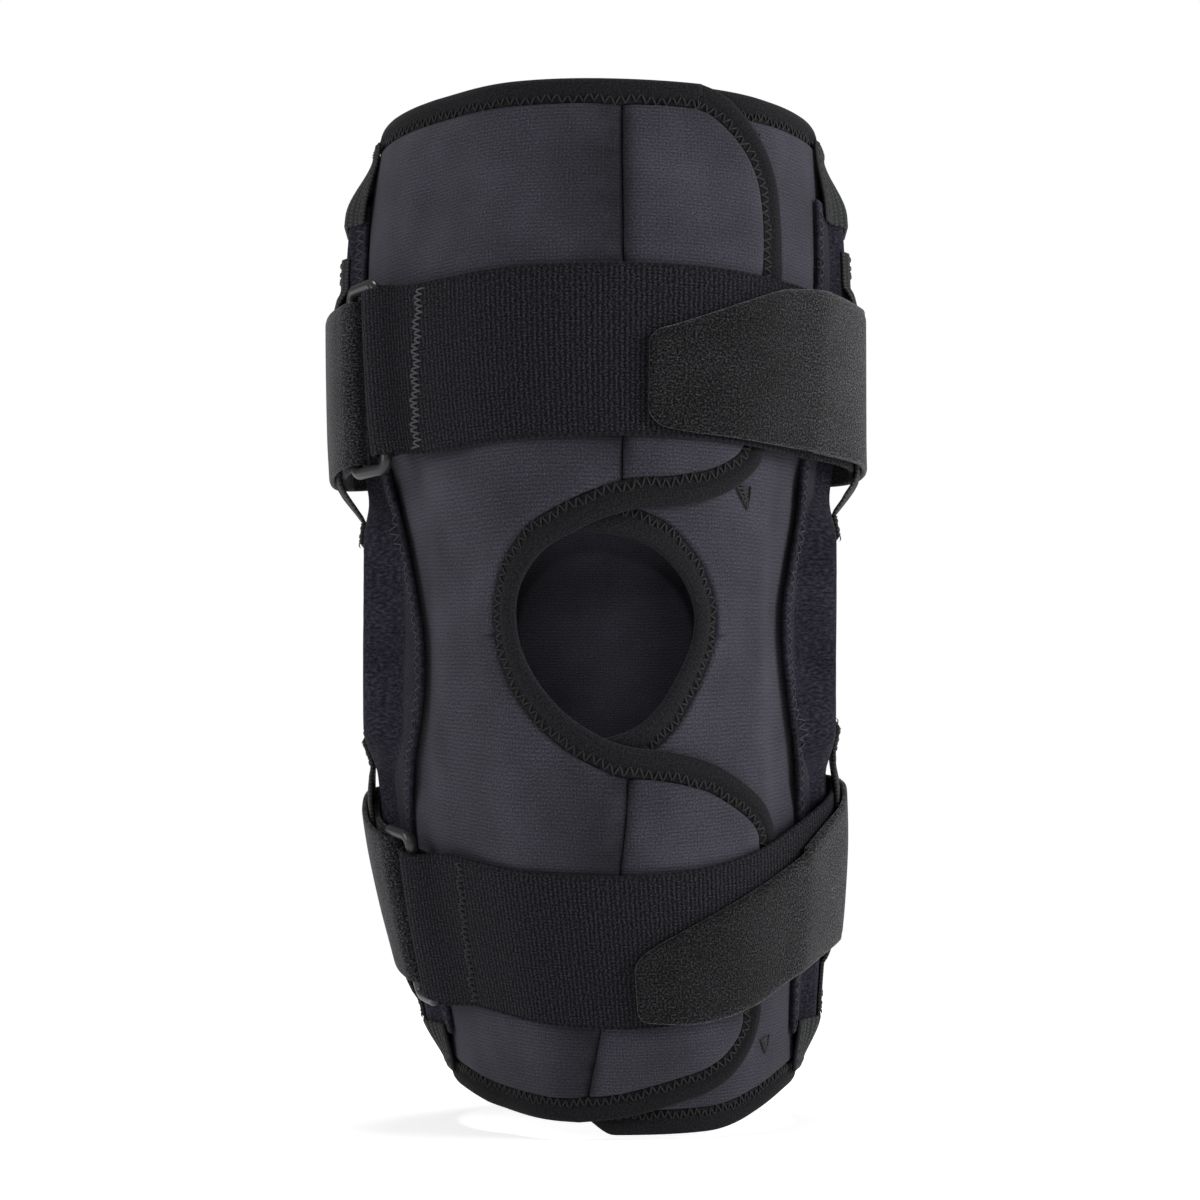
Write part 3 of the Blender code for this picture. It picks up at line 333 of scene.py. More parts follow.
def evenly(path, step):
    """The same polyline with points a fixed step apart, in mm on the leg."""
    flat = np.array(path, float) * FLAT
    run = run_along(flat)
    places = np.linspace(0, run[-1], max(2, int(round(run[-1] / step)) + 1))
    return pick_at(places, run, flat) / FLAT


def spline(points, step):
    """Points a fixed step apart along a smooth curve through the given points."""
    flat = np.array(points, float) * FLAT
    last = len(flat) - 1
    rows = []
    for i in range(last):
        before, start, end, after = (flat[min(max(i + k, 0), last)] for k in range(-1, 3))
        count = max(2, int(np.linalg.norm(end - start) / 0.25))
        t = np.linspace(0, 1, count, endpoint=False)[:, None]
        gaps = (start - before, end - start, after - end)
        la, lb, lc = (max(np.linalg.norm(gap), 1e-6) ** 0.5 for gap in gaps)
        slope_start = slope_end = end - start
        if not np.allclose(before, start):
            slope_start = lb * (
                (start - before) / la - (end - before) / (la + lb) + (end - start) / lb
            )
        if not np.allclose(end, after):
            slope_end = lb * (
                (end - start) / lb - (after - start) / (lb + lc) + (after - end) / lc
            )
        rows.append(hermite(t, start, end, slope_start, slope_end))
    rows.append(flat[-1:])
    return evenly(np.concatenate(rows) / FLAT, step)


def offset(path, mm):
    """The path moved mm to its right-hand side."""
    flat = np.array(path, float) * FLAT
    ahead = unit(np.gradient(flat, axis=0))
    return (flat + mm * np.stack([ahead[:, 1], -ahead[:, 0]], -1)) / FLAT


# ------------------------------------------------------------------ meshes
def mesh_object(name, verts, faces, uvs, look):
    """verts in mm, faces as lists of vertex numbers, one (u, v) in mm for each vertex."""
    mesh = bpy.data.meshes.new(name)
    mesh.from_pydata(world(verts).tolist(), [], faces)
    mesh.validate()
    layer = mesh.uv_layers.new(name="UVMap")
    loops = np.empty(len(mesh.loops), np.int32)
    mesh.loops.foreach_get("vertex_index", loops)
    layer.data.foreach_set("uv", (uvs[loops] / 100.0).astype(np.float32).ravel())
    mesh.shade_smooth()
    material, slot = LOOKS[look]
    mesh.materials.append(material)
    obj = bpy.data.objects.new(name, mesh)
    bpy.context.scene.collection.objects.link(obj)
    return obj


def vertex_normals(verts, faces):
    tris = np.array([(f[0], f[k], f[k + 1]) for f in faces for k in range(1, len(f) - 1)])
    first, second, third = (verts[tris[:, i]] for i in range(3))
    normals = np.cross(second - first, third - first)
    out = np.zeros_like(verts)
    for i in range(3):
        np.add.at(out, tris[:, i], normals)
    return unit(out, 1e-9)


def chain(pairs):
    """Joins directed edges into loops of vertex numbers."""
    ahead, loops = {}, []
    for start, end in pairs:
        ahead.setdefault(start, []).append(end)

    def follow(here):
        there = ahead[here].pop()
        if not ahead[here]:
            del ahead[here]
        return there

    while ahead:
        start = next(iter(ahead))
        loop, here = [start], follow(start)
        while here != start and here in ahead:
            loop.append(here)
            here = follow(here)
        if len(loop) > 2:
            loops.append(loop)
    return loops


def piece(name, verts, faces, uvs, look, heights):
    """A closed mesh. One that crosses height 0 has edges along it, and becomes an upper and
    a lower closed mesh that keep one smooth shading."""
    if not heights.min() < 0 < heights.max():
        return mesh_object(name, verts, faces, uvs, look)
    normals = vertex_normals(verts, faces)
    made = []
    for tag, sign in (("upper", 1), ("lower", -1)):
        kept = [f for f in faces if sign * sum(heights[i] for i in f) / len(f) > 0]
        sides = dict.fromkeys(pair for f in kept for pair in zip(f, f[1:] + f[:1]))
        closing = chain([(b, a) for a, b in sides if (b, a) not in sides])
        used = sorted({i for f in kept for i in f})
        number = {old: new for new, old in enumerate(used)}
        new_faces = [[number[i] for i in f] for f in kept + closing]
        obj = mesh_object(f"{name}_{tag}", verts[used], new_faces, uvs[used], look)
        obj.data.normals_split_custom_set_from_vertices(normals[used].tolist())
        made.append(obj)
    return made


def compact(faces, *columns):
    """Renumbers the faces and drops the rows that no face uses."""
    used, numbers = np.unique(faces, return_inverse=True)
    return numbers.reshape(faces.shape), *(column[used] for column in columns)


def two_sided(name, look, top, low, faces, rim, uvs):
    """A closed sheet from its two faces, which share the vertices of the rim."""
    outer = np.arange(len(top))
    inner = np.where(rim, outer, outer + len(top))
    faces = np.concatenate([faces, inner[faces[:, ::-1]]])
    verts, uvs = np.concatenate([top, low]), np.tile(uvs, (2, 1))
    faces, verts, uvs = compact(faces, verts, uvs)
    return piece(name, verts, faces.tolist(), uvs, look, uvs[:, 1])


def bend(obj, half):
    """Bakes the object's transform into its mesh; upper and lower halves are treated alike."""
    if half == "upper":
        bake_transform(obj)
    else:
        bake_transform(obj)


def fit_halves(made, upper_parts, lower_parts):
    for obj, half, parts in zip(made, ("upper", "lower"), (upper_parts, lower_parts)):
        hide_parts(*parts)
        bend(obj, half)


def fit_panel(made, panel):
    fit_halves(made, (f"{panel}_thigh", f"{panel}_knee"), (f"{panel}_shank", f"{panel}_knee"))


def inside(poly, points):
    x, y = points[:, 0], points[:, 1]
    hit = np.zeros(len(points), bool)
    for (x0, y0), (x1, y1) in zip(poly, np.roll(poly, -1, axis=0)):
        if y0 == y1:
            continue
        cross = (y0 > y) != (y1 > y)
        hit ^= cross & (x < x0 + (y - y0) * (x1 - x0) / (y1 - y0))
    return hit


def edge_distance(poly, points):
    best = np.full(len(points), 1e9)
    for start, end in zip(poly, np.roll(poly, -1, axis=0)):
        side = end - start
        t = np.clip(((points - start) @ side) / max(side @ side, 1e-12), 0, 1)
        best = np.minimum(best, np.hypot(*(points - start - t[:, None] * side).T))
    return best


def inward_mitres(poly):
    """Inward directions at the corners, long enough to shift both sides by 1."""
    ahead = unit(np.roll(poly, -1, axis=0) - poly)
    behind = unit(poly - np.roll(poly, 1, axis=0))
    in_ahead, in_behind = (np.stack([-d[:, 1], d[:, 0]], -1) for d in (ahead, behind))
    mitre = unit(in_ahead + in_behind, 1e-6)
    return mitre / np.maximum((mitre * in_ahead).sum(1), 0.5)[:, None]


def cut_piece(outline, step, roll):
    """Triangulates a flat outline. Returns points (phi, z), distance to the edge, triangles
    and a mask of the rim."""
    poly = np.array(outline, float) * FLAT
    poly = poly[np.linalg.norm(poly - np.roll(poly, 1, axis=0), axis=1) > 0.15]
    x_next, z_next = np.roll(poly[:, 0], -1), np.roll(poly[:, 1], -1)
    if 0.5 * np.sum(poly[:, 0] * z_next - x_next * poly[:, 1]) < 0:
        poly = poly[::-1]
    n = len(poly)
    mitre = inward_mitres(poly)
    points, edges = [poly], [(i, (i + 1) % n) for i in range(n)]
    for share in (0.07, 0.28, 0.6, 1.0):
        ring = poly + mitre * roll * share
        good = (edge_distance(poly, ring) > 0.86 * roll * share) & inside(poly, ring)
        points.append(ring[good])
    lo, hi = poly.min(0), poly.max(0)
    xs = np.arange(lo[0] + step * 0.5, hi[0], step)
    zs = np.arange(math.ceil(lo[1] / step) * step, hi[1], step)
    grid = np.stack(np.meshgrid(xs, zs), -1)
    grid[1::2, :, 0] += step * 0.5
    grid = grid.reshape(-1, 2)
    grid = grid[inside(poly, grid)]
    points.append(grid[edge_distance(poly, grid) > roll + 0.42 * step])
    if lo[1] < 0 < hi[1]:  # an edge along height 0, where the piece is split
        count = sum(map(len, points))
        edges.append((count, count + 1))
        points.append(np.array([(lo[0] - 3.0, 0.0), (hi[0] + 3.0, 0.0)]))
    corners = [Vector(p) for p in np.concatenate(points).tolist()]
    out, _, tris, *_ = delaunay_2d_cdt(corners, edges, [], 0, 1e-5, False)
    out = np.array([tuple(v) for v in out])
    tris = np.array([t for t in tris if len(t) == 3])
    tris = tris[inside(poly, out[tris].mean(axis=1))]
    a, b, c = (out[tris[:, i]] for i in range(3))
    turn = (b[:, 0] - a[:, 0]) * (c[:, 1] - a[:, 1]) - (b[:, 1] - a[:, 1]) * (c[:, 0] - a[:, 0])
    tris = tris[np.abs(turn) > 1e-7]
    turn = turn[np.abs(turn) > 1e-7]
    tris[turn < 0] = tris[turn < 0][:, ::-1]
    tris, out = compact(tris, out)
    ends = np.sort(np.concatenate([tris[:, [0, 1]], tris[:, [1, 2]], tris[:, [2, 0]]]), axis=1)
    pairs, times = np.unique(ends, axis=0, return_counts=True)
    rim = np.zeros(len(out), bool)
    rim[pairs[times == 1].ravel()] = True
    out[np.abs(out[:, 1]) < 1e-4, 1] = 0.0
    distance = edge_distance(poly, out)
    distance[rim] = 0.0
    return out / FLAT, distance, tris, rim


def quarter_round(distance, roll):
    """0 at an edge, rising in a quarter circle to 1 at distance roll."""
    x = np.clip(distance / roll, 0, 1)
    return np.sqrt(np.maximum(0.0, 1 - (1 - x) ** 2))


def cloth(name, outline, base, thick, step, roll, soft=None):
    """A neoprene piece with rolled edges. soft gives the swell of its outer face."""
    points, distance, tris, rim = cut_piece(outline, step, roll)
    phi, z = points[:, 0], points[:, 1]
    shape = quarter_round(distance, roll)
    low = base(phi, z)
    thick = thick(phi, z) if callable(thick) else thick
    crown = soft(phi, z, distance) if soft else 0.0
    outer = on_leg(phi, z, low + thick / 2 + thick / 2 * shape + crown)
    inner = on_leg(phi, z, low + thick / 2 - thick / 2 * shape)
    return two_sided(name, "neoprene", outer, inner, tris, rim, points * FLAT)


def ring_faces(rings, sides, closed=False):
    """Quads that join rings of vertices, each to the next."""
    ring = np.arange(rings if closed else rings - 1)[:, None]
    here, ahead = ring * sides, (ring + 1) % rings * sides
    side = np.arange(sides)
    beside = (side + 1) % sides
    quads = [here + beside, ahead + beside, ahead + side, here + side]
    return np.stack(quads, -1).reshape(-1, 4)


def end_caps(first, last, sides):
    return [list(range(first, first + sides)), list(range(last, last + sides))[::-1]]


def stations(length, step, roll):
    """Places 0..1 along a side, closer at both ends so that the edge can roll over."""
    near = np.array([0, 0.05, 0.18, 0.42, 1.0]) * roll / length
    middle = np.linspace(near[-1], 1 - near[-1], max(2, int(round(length / step))))[1:-1]
    return np.concatenate([near, middle, 1 - near[::-1]])


def rolled(t, length, roll):
    return quarter_round(np.minimum(t, 1 - t) * length, roll)


def shell(name, look, grid, half, uv, flip=False, shift=0.0):
    """A closed sheet about a grid of points. half is half its thickness at each point, 0
    along the rim; shift 1 puts it all on the outer side of the grid."""
    normal = unit(np.cross(np.gradient(grid, axis=0), np.gradient(grid, axis=1)), 1e-9)
    if flip:
        normal = -normal
    middle = grid + normal * (shift * half.max())
    top, low = middle + normal * half[..., None], middle - normal * half[..., None]
    number = np.arange(half.size).reshape(half.shape)
    rim = np.ones(half.shape, bool)
    rim[1:-1, 1:-1] = False
    corners = [number[:-1, :-1], number[1:, :-1], number[1:, 1:], number[:-1, 1:]]
    quads = np.stack(corners, -1).reshape(-1, 4)
    if flip:
        quads = quads[:, ::-1]
    return two_sided(
        name, look, top.reshape(-1, 3), low.reshape(-1, 3), quads, rim.ravel(), uv.reshape(-1, 2)
    )


def outward(obj):
    """Turns a closed mesh right side out when its faces point inwards."""
    mesh = obj.data
    mesh.calc_loop_triangles()
    verts = np.empty(len(mesh.vertices) * 3)
    mesh.vertices.foreach_get("co", verts)
    tris = np.empty(len(mesh.loop_triangles) * 3, np.int32)
    mesh.loop_triangles.foreach_get("vertices", tris)
    verts, tris = verts.reshape(-1, 3), tris.reshape(-1, 3)
    a, b, c = (verts[tris[:, i]] for i in range(3))
    if np.einsum("ij,ij->i", a, np.cross(b, c)).sum() < 0:
        mesh.flip_normals()
    return obj


def tube(name, look, centres, radius, sides, closed=False):
    n = len(centres)
    if closed:
        ahead = np.roll(centres, -1, axis=0) - np.roll(centres, 1, axis=0)
    else:
        ahead = np.gradient(centres, axis=0)
    ahead = unit(ahead)
    out = np.stack([centres[:, 0], centres[:, 1], np.zeros(n)], -1)
    out -= (out * ahead).sum(1)[:, None] * ahead
    out = unit(out)
    side = np.cross(ahead, out)
    angle = np.linspace(0, 2 * math.pi, sides, endpoint=False)
    cos, sin = np.cos(angle)[:, None], np.sin(angle)[:, None]
    rings = centres[:, None] + radius * (out[:, None] * cos + side[:, None] * sin)
    faces = ring_faces(n, sides, closed).tolist()
    if not closed:
        faces += end_caps(0, (n - 1) * sides, sides)
    uvs = np.stack(np.broadcast_arrays(np.arange(n)[:, None] * 1.0, angle * 2), -1)
    return outward(mesh_object(name, rings.reshape(-1, 3), faces, uvs.reshape(-1, 2), look))


# ------------------------------------------------------------------ threads
# A group of stitches is (start, end, outward normal, height z), one row for each stitch.
def stitches(name, look, group, radius=0.27):
    """Short threads, each an arch from one needle hole to the next."""
    start, end, up, _ = group
    n, sides = len(start), 5
    rise, dip = 0.3, 0.22
    share = np.array([0.0, 0.22, 0.5, 0.78, 1.0])
    lift = np.array([-dip, rise * 0.75, rise, rise * 0.75, -dip])
    radii = np.array([0.45, 0.95, 1.0, 0.95, 0.45]) * radius
    ahead = unit(end - start, 1e-6)
    side = unit(np.cross(ahead, up), 1e-9)
    angle = np.linspace(0, 2 * math.pi, sides, endpoint=False)
    cos, sin = np.cos(angle)[:, None], np.sin(angle)[:, None]
    centre = start[:, None] + (end - start)[:, None] * share[:, None] + up[:, None] * lift[:, None]
    round_it = up[:, None, None] * cos + side[:, None, None] * sin
    verts = (centre[:, :, None] + radii[:, None, None] * round_it).reshape(-1, 3)
    firsts = np.arange(n) * len(share) * sides
    faces = (ring_faces(len(share), sides)[None] + firsts[:, None, None]).reshape(-1, 4).tolist()
    for first in firsts.tolist():
        faces += end_caps(first, first + (len(share) - 1) * sides, sides)
    uvs = np.zeros((len(verts), 2))
    uvs[:, 0] = np.tile(np.repeat(share, sides), n) * 3.0
    return mesh_object(name, verts, faces, uvs, look)


def seated(points, height, place):
    """Places of (phi, z) points, and the outward normals there. height is a distance off the
    surface, or a function that gives it."""
    phi, z = points[:, 0], points[:, 1]
    off = height(phi, z) if callable(height) else height
    base = place(phi, z, off)
    return base, unit(place(phi, z, off + 1.0) - base)


def needle(holes, height, place=on_leg):
    """Stitches from each needle hole to the next."""
    base, up = seated(holes, height, place)
    z = holes[:, 1]
    return base[:-1], base[1:], unit(up[:-1] + up[1:]), (z[:-1] + z[1:]) / 2


def zigzag(path, height, amp, pitch, place=on_leg, jitter=0.36):
    line = evenly(path, pitch / 2)
    k = np.arange(len(line))
    swing = amp * np.where(k % 2 == 0, 1.0, -1.0) * (1 + jitter * np.sin(k * 2.399 + 0.7))
    return needle(offset(line, -swing[:, None]), height, place)


def dashes(path, height, place, stitch=2.0, gap=0.7):
    """A straight row of single stitches."""
    flat = evenly(path, stitch + gap) * FLAT
    ahead = unit(np.gradient(flat, axis=0))
    start, up = seated(flat / FLAT, height, place)
    end, _ = seated((flat + ahead * stitch) / FLAT, height, place)
    return start, end, up, (flat / FLAT)[:, 1]


def join(*groups):
    return [np.concatenate(column) for column in zip(*groups)]


def sewn(name, look, group, radius=0.27):
    """Threads split at height 0 into an upper and a lower piece."""
    z = group[3]
    for half, keep in (("upper", z >= 0), ("lower", z < 0)):
        if keep.any():
            kept = [column[keep] for column in group]
            bend(stitches(f"{name}_{half}", look, kept, radius), half)


# ------------------------------------------------------------------ materials
class Nodes:
    """Small helper for building a node tree."""

    def __init__(self, tree):
        self.tree = tree

    def put(self, socket, value):
        if isinstance(value, bpy.types.NodeSocket):
            self.tree.links.new(value, socket)
        else:
            socket.default_value = value

    def node(self, kind, inputs={}, **settings):
        node = self.tree.nodes.new("ShaderNode" + kind)
        for key, value in settings.items():
            setattr(node, key, value)
        for key, value in inputs.items():
            self.put(node.inputs[key], value)
        return node


class Surface(Nodes):
    """A material round a Principled shader. coords is the place that its noises read."""

    def __init__(self, name):
        self.mat = bpy.data.materials.new(name)
        self.mat.use_nodes = True
        super().__init__(self.mat.node_tree)
        self.shader = next(n for n in self.tree.nodes if n.type == "BSDF_PRINCIPLED")

    def noise(self, scale, detail=2.0, rough=0.5):
        inputs = {"Vector": self.coords, "Scale": scale, "Detail": detail, "Roughness": rough}
        return self.node("TexNoise", inputs).outputs[0]

    def ramp(self, fac, stops):
        node = self.node("ValToRGB", {0: fac})
        elements = node.color_ramp.elements
        while len(elements) < len(stops):
            elements.new(0.5)
        for element, (position, colour) in zip(elements, stops):
            element.position, element.color = position, (*colour, 1.0)
        return node.outputs[0]

    def bump(self, height, strength, distance):
        inputs = {"Strength": strength, "Distance": distance, "Height": height}
        self.put(self.shader.inputs["Normal"], self.node("Bump", inputs).outputs[0])

    def done(self, colour, rough, spec=0.5, sheen=0.0, sheen_rough=0.5, metallic=0.0):
        if isinstance(colour, tuple):
            colour = (*colour, 1.0)
        for key, value in {
            "Base Color": colour,
            "Roughness": rough,
            "Specular IOR Level": spec,
            "Metallic": metallic,
            "Sheen Weight": sheen,
            "Sheen Roughness": sheen_rough,
        }.items():
            self.put(self.shader.inputs[key], value)
        return self.mat


class Fabric(Surface):
    """A material laid out by the UV map; u and v are in mm."""

    def __init__(self, name):
        super().__init__(name)
        layout = self.node("UVMap", uv_map="UVMap")
        split = self.node("SeparateXYZ", {0: layout.outputs[0]})
        self.u, self.v = (self.times(split.outputs[i], 100.0) for i in (0, 1))

    @cached_property
    def coords(self):
        return self.node("CombineXYZ", {0: self.u, 1: self.v}).outputs[0]

    def math(self, kind, a, b=0.0, c=0.0, clamp=False):
        return self.node("Math", {0: a, 1: b, 2: c}, operation=kind, use_clamp=clamp).outputs[0]

    def times(self, a, b):
        return self.math("MULTIPLY", a, b)

    def plus(self, a, b):
        return self.math("ADD", a, b)

    def minus(self, a, b):
        return self.math("SUBTRACT", a, b)

    def over(self, a, b, clamp=False):
        return self.math("DIVIDE", a, b, clamp=clamp)

    def times_plus(self, a, b, c):
        return self.math("MULTIPLY_ADD", a, b, c)

    def wave(self, coord, period, phase=None):
        """Sine of a coordinate in mm, 0 to 1."""
        angle = self.times(coord, 2 * math.pi / period)
        if phase is not None:
            angle = self.plus(angle, phase)
        return self.times_plus(self.math("SINE", angle), 0.5, 0.5)

    def dimmed(self, colour, factor):
        return self.node("VectorMath", {0: colour, "Scale": factor}, operation="SCALE").outputs[0]


def shades(base, *stops):
    """Ramp stops from (position, brightness of the base colour) pairs."""
    return [(position, tuple(c * gain for c in base)) for position, gain in stops]


def neoprene():
    """Fine jersey face: knitted courses run across, broken by small stitches."""
    n = Fabric("neoprene")
    slow = n.noise(scale=0.045)
    tilt = n.times(n.noise(scale=0.02, detail=1.0), 22.0)
    rib = n.wave(n.v, 1.02, phase=n.times_plus(n.noise(scale=0.45), 4.5, tilt))
    wale = n.wave(n.u, 0.95, phase=n.times(n.noise(scale=0.9, detail=1.0), 7.0))
    knit = n.times(rib, n.times_plus(wale, 0.6, 0.4))
    grain = n.noise(scale=2.1, rough=0.6)
    mix = n.times_plus(slow, 0.35, n.times_plus(knit, 0.15, n.times(grain, 1.0)))
    height = n.plus(n.times(knit, 0.5), n.times(grain, 1.4))
    n.bump(height, strength=0.5, distance=0.00025)
    # Painted shade: darker towards the front seam, over a wider band on its left, where the seam's
    # valley lies in shade. The seam's u is 6.4 mm above the knee and slants below it.
    below = n.times_plus(n.plus(n.v, 33.0), 0.208, 8.0)
    is_up = n.math("GREATER_THAN", n.v, 0.0)
    seam = n.plus(n.times(is_up, 6.4), n.times(n.minus(1.0, is_up), below))
    off = n.minus(n.u, seam)
    left = n.over(n.math("MINIMUM", off, 0.0), 12.0)
    right = n.over(n.math("MAXIMUM", off, 0.0), 2.6)
    squares = n.plus(n.times(left, left), n.times(right, right))
    near = n.math("EXPONENT", n.times(squares, -1.0))
    from_knee = n.math("ABSOLUTE", n.minus(n.v, 5.0))
    zone = n.over(n.minus(from_knee, 30.0), 12.0, clamp=True)
    seam_shade_depth = n.times_plus(n.noise(scale=0.12), 0.6, 0.22)
    # painted shade factor near the front seam
    shade = n.minus(1.0, n.times(n.times(near, zone), seam_shade_depth))
    base = (0.0418, 0.0393, 0.0510)
    colour = n.ramp(mix, shades(base, (0.44, 0.35), (0.70, 0.95), (0.98, 2.1)))
    return n.done(n.dimmed(colour, shade), rough=0.9, spec=0.12, sheen=0.05, sheen_rough=0.6)


def plush():
    n = Fabric("plush")
    grain = n.noise(scale=1.4, rough=0.6)
    mix = n.times_plus(n.noise(scale=0.06), 0.35, grain)
    n.bump(grain, strength=0.7, distance=0.0004)
    colour = n.ramp(mix, shades((0.0190, 0.0172, 0.0255), (0.48, 0.3), (0.68, 1), (0.9, 2.4)))
    return n.done(colour, rough=0.95, spec=0.08, sheen=0.10, sheen_rough=0.4)


def binding():
    n = Fabric("binding")
    weave = n.times(n.wave(n.u, 0.7), n.wave(n.v, 0.7))
    grain = n.noise(scale=1.6, rough=0.6)
    mix = n.times_plus(weave, 0.12, grain)
    n.bump(n.plus(weave, grain), strength=0.4, distance=0.0002)
    colour = n.ramp(mix, shades((0.0130, 0.0126, 0.0142), (0.36, 0.45), (0.53, 1), (0.74, 1.9)))
    return n.done(colour, rough=0.88, spec=0.12, sheen=0.05, sheen_rough=0.4)


def elastic():
    """Knitted elastic: a wave along the strap, broken by close loops across it."""
    n = Fabric("elastic")
    column = n.wave(n.u, 1.30, phase=n.times(n.noise(scale=0.5), 5.0))
    loop = n.wave(n.v, 0.9, phase=n.times(n.noise(scale=0.9), 8.0))
    grain = n.noise(scale=1.9, rough=0.65)
    knit = n.times(column, n.times_plus(loop, 0.5, 0.5))
    mix = n.times_plus(knit, 0.22, n.times(grain, 1.15))
    n.bump(n.plus(n.times(knit, 0.7), grain), strength=0.7, distance=0.0005)
    base = (0.0135, 0.0136, 0.0165)
    colour = n.ramp(mix, shades(base, (0.44, 0.2), (0.64, 0.85), (0.88, 3.4)))
    return n.done(colour, rough=0.92, spec=0.08, sheen=0.05, sheen_rough=0.4)


def fuzzy(name, base, scale, spread, sheen, fade=0.0):
    """Brushed loop or hook face: tangled fibres that catch the light as specks. fade brightens it
    towards u = 4 mm, where the tab runs into the strap at the side: partly the strap's own colour,
    partly painted light for the side that catches more light."""
    n = Fabric(name)
    tufts = n.noise(scale, rough=0.7)
    mix = n.times_plus(n.noise(scale=0.08), 0.1, n.times(tufts, 1.2))
    n.bump(tufts, strength=0.8, distance=0.0006)
    stops = ((0.51, 0.1), (0.65, 0.85), (0.81, spread * 1.25), (0.91, spread * 2.0))
    colour = n.ramp(mix, shades(base, *stops))
    gain = n.times_plus(n.over(n.minus(40.0, n.u), 36.0, clamp=True), fade, 1.0)
    return n.done(n.dimmed(colour, gain), rough=0.95, spec=0.08, sheen=sheen, sheen_rough=0.35)


def webbing():
    """Plain woven tape."""
    n = Fabric("webbing")
    pitch = 1.15
    warp = n.wave(n.u, pitch)
    row = n.math("FLOOR", n.over(n.u, pitch))
    weft = n.wave(n.v, pitch, phase=n.times(row, math.pi))
    weave = n.times(warp, n.times_plus(weft, 0.7, 0.3))
    mix = n.times_plus(weave, 0.55, n.times(n.noise(scale=1.6, rough=0.6), 0.6))
    n.bump(weave, strength=0.8, distance=0.0005)
    colour = n.ramp(mix, shades((0.020, 0.0205, 0.0210), (0.22, 0.3), (0.5, 1), (0.85, 3.0)))
    return n.done(colour, rough=0.65, spec=0.25, sheen=0.05, sheen_rough=0.4)


def thread(name, base):
    n = Fabric(name)
    ply = n.wave(n.plus(n.u, n.v), 0.5)
    n.bump(ply, strength=0.3, distance=0.0001)
    return n.done(n.ramp(ply, shades(base, (0, 0.6), (1, 1.4))), rough=0.6, spec=0.35, sheen=0.1)


def plastic():
    n = Fabric("ring_plastic")
    grain = n.noise(scale=1.2, detail=3.0, rough=0.6)
    n.bump(grain, strength=0.12, distance=0.0001)
    colour = n.ramp(grain, [(0.3, (0.026, 0.024, 0.025)), (0.8, (0.040, 0.037, 0.038))])
    return n.done(colour, rough=0.30, spec=0.55)


def solid(name, base, rough, streak=(1, 1, 1), metallic=1.0):
    """Fine grain in object coordinates, because the CAD meshes carry no layout."""
    n = Surface(name)
    place = n.node("TexCoord").outputs["Object"]
    n.coords = n.node("Mapping", {"Vector": place, "Scale": streak}).outputs[0]
    grain = n.noise(scale=900.0, detail=3.0)
    n.bump(grain, strength=0.15, distance=0.00005)
    return n.done(n.ramp(grain, shades(base, (0, 0.85), (1, 1))), rough, metallic=metallic)


LOOKS = {
    "neoprene": (neoprene(), "neoprene"),
    "plush": (plush(), "plush"),
    "binding": (binding(), "binding"),
    "elastic": (elastic(), "elastic"),
    "strap": (
        fuzzy("strap_loop", (0.0300, 0.0290, 0.0332), scale=1.8, spread=2.3, sheen=0.36),
        "strap",
    ),
    "tab": (
        # fade: brighter towards the side, partly the strap's colour and partly painted light
        fuzzy("hook_tab", (0.0124, 0.0121, 0.0130), scale=1.75, spread=2.9, sheen=0.44, fade=1.15),
        "tab",
    ),
    "webbing": (webbing(), "webbing"),
    "thread": (thread("thread_black", (0.0110, 0.0110, 0.0122)), "binding"),
    "thread_light": (thread("thread_grey", (0.075, 0.075, 0.080)), "elastic"),
    "thread_pocket": (thread("thread_navy", (0.034, 0.032, 0.042)), "plush"),
    "ring": (plastic(), "ring"),
}

aluminium = solid("aluminium_drawn", (0.72, 0.73, 0.74), rough=0.32, streak=(1, 1, 0.05))
steel = solid("rivet_steel", (0.60, 0.60, 0.61), rough=0.26)
pad_foam = solid("condyle_foam", (0.10, 0.10, 0.105), rough=0.85, metallic=0.0)
CAD_LOOKS = {"arm": aluminium, "plate": aluminium, "rivet": steel, "condyle": pad_foam}
for name, node in frame["nodes"].items():
    material = next((look for word, look in CAD_LOOKS.items() if word in name), None)
    if material:
        node.data.materials.clear()
        node.data.materials.append(material)

# ------------------------------------------------------------------ pattern lines, (phi, z)
edge_left = spline(EDGE_LEFT, 1.2)
sew_left = offset(edge_left, TAPE)
edge_right = spline(EDGE_RIGHT, 1.2)
sew_right = offset(edge_right, -TAPE)
BACK_BOTTOM = -134.5
SIDE_LOW = -127.2  # sewing line at the bottom of the side seams
SIDE_PHI = 95.0  # where the fronts end at the sides
UNDERLAP_PHI = -17.0  # where the right front ends under the left


def bottom_left(phi):
    return BACK_BOTTOM - 2.1 * smooth((phi + 70) / 30)


def bottom_right(phi):
    return BACK_BOTTOM - 6.6 * smooth((72 - phi) / 45) + 6.5 * smooth((-4.0 - phi) / 13.0)


def seam_up(z):
    return 5.9 + 0.5 * np.sin((z - 40) * 0.03)


# Where the sewing line of the left edge crosses the front seam
up_cross = next(i for i, (phi, z) in enumerate(sew_left) if 0 < z < 60 and phi <= seam_up(z))
low_cross = next(i for i, (phi, z) in enumerate(sew_left) if z < -25 and phi >= seam_low(z))
low_end = next(
    i for i in range(low_cross + 5, len(sew_left))
    if sew_left[i][1] < -115 and sew_left[i][0] <= seam_low(sew_left[i][1])
)
SEAM_UP_SPAN = (sew_left[up_cross][1] + 0.5, TOP_SEW)
SEAM_LOW_SPAN = (sew_left[low_end][1] + 0.5, sew_left[low_cross][1] - 0.5)


def line(start, end):
    return evenly([start, end], 1.8)


def along(seam, span, shift):
    """Points beside a seam over a span of heights."""
    z = np.linspace(*span, max(2, int(abs(span[1] - span[0]) / 1.8)))
    return np.stack([seam(z) + shift, z], -1)


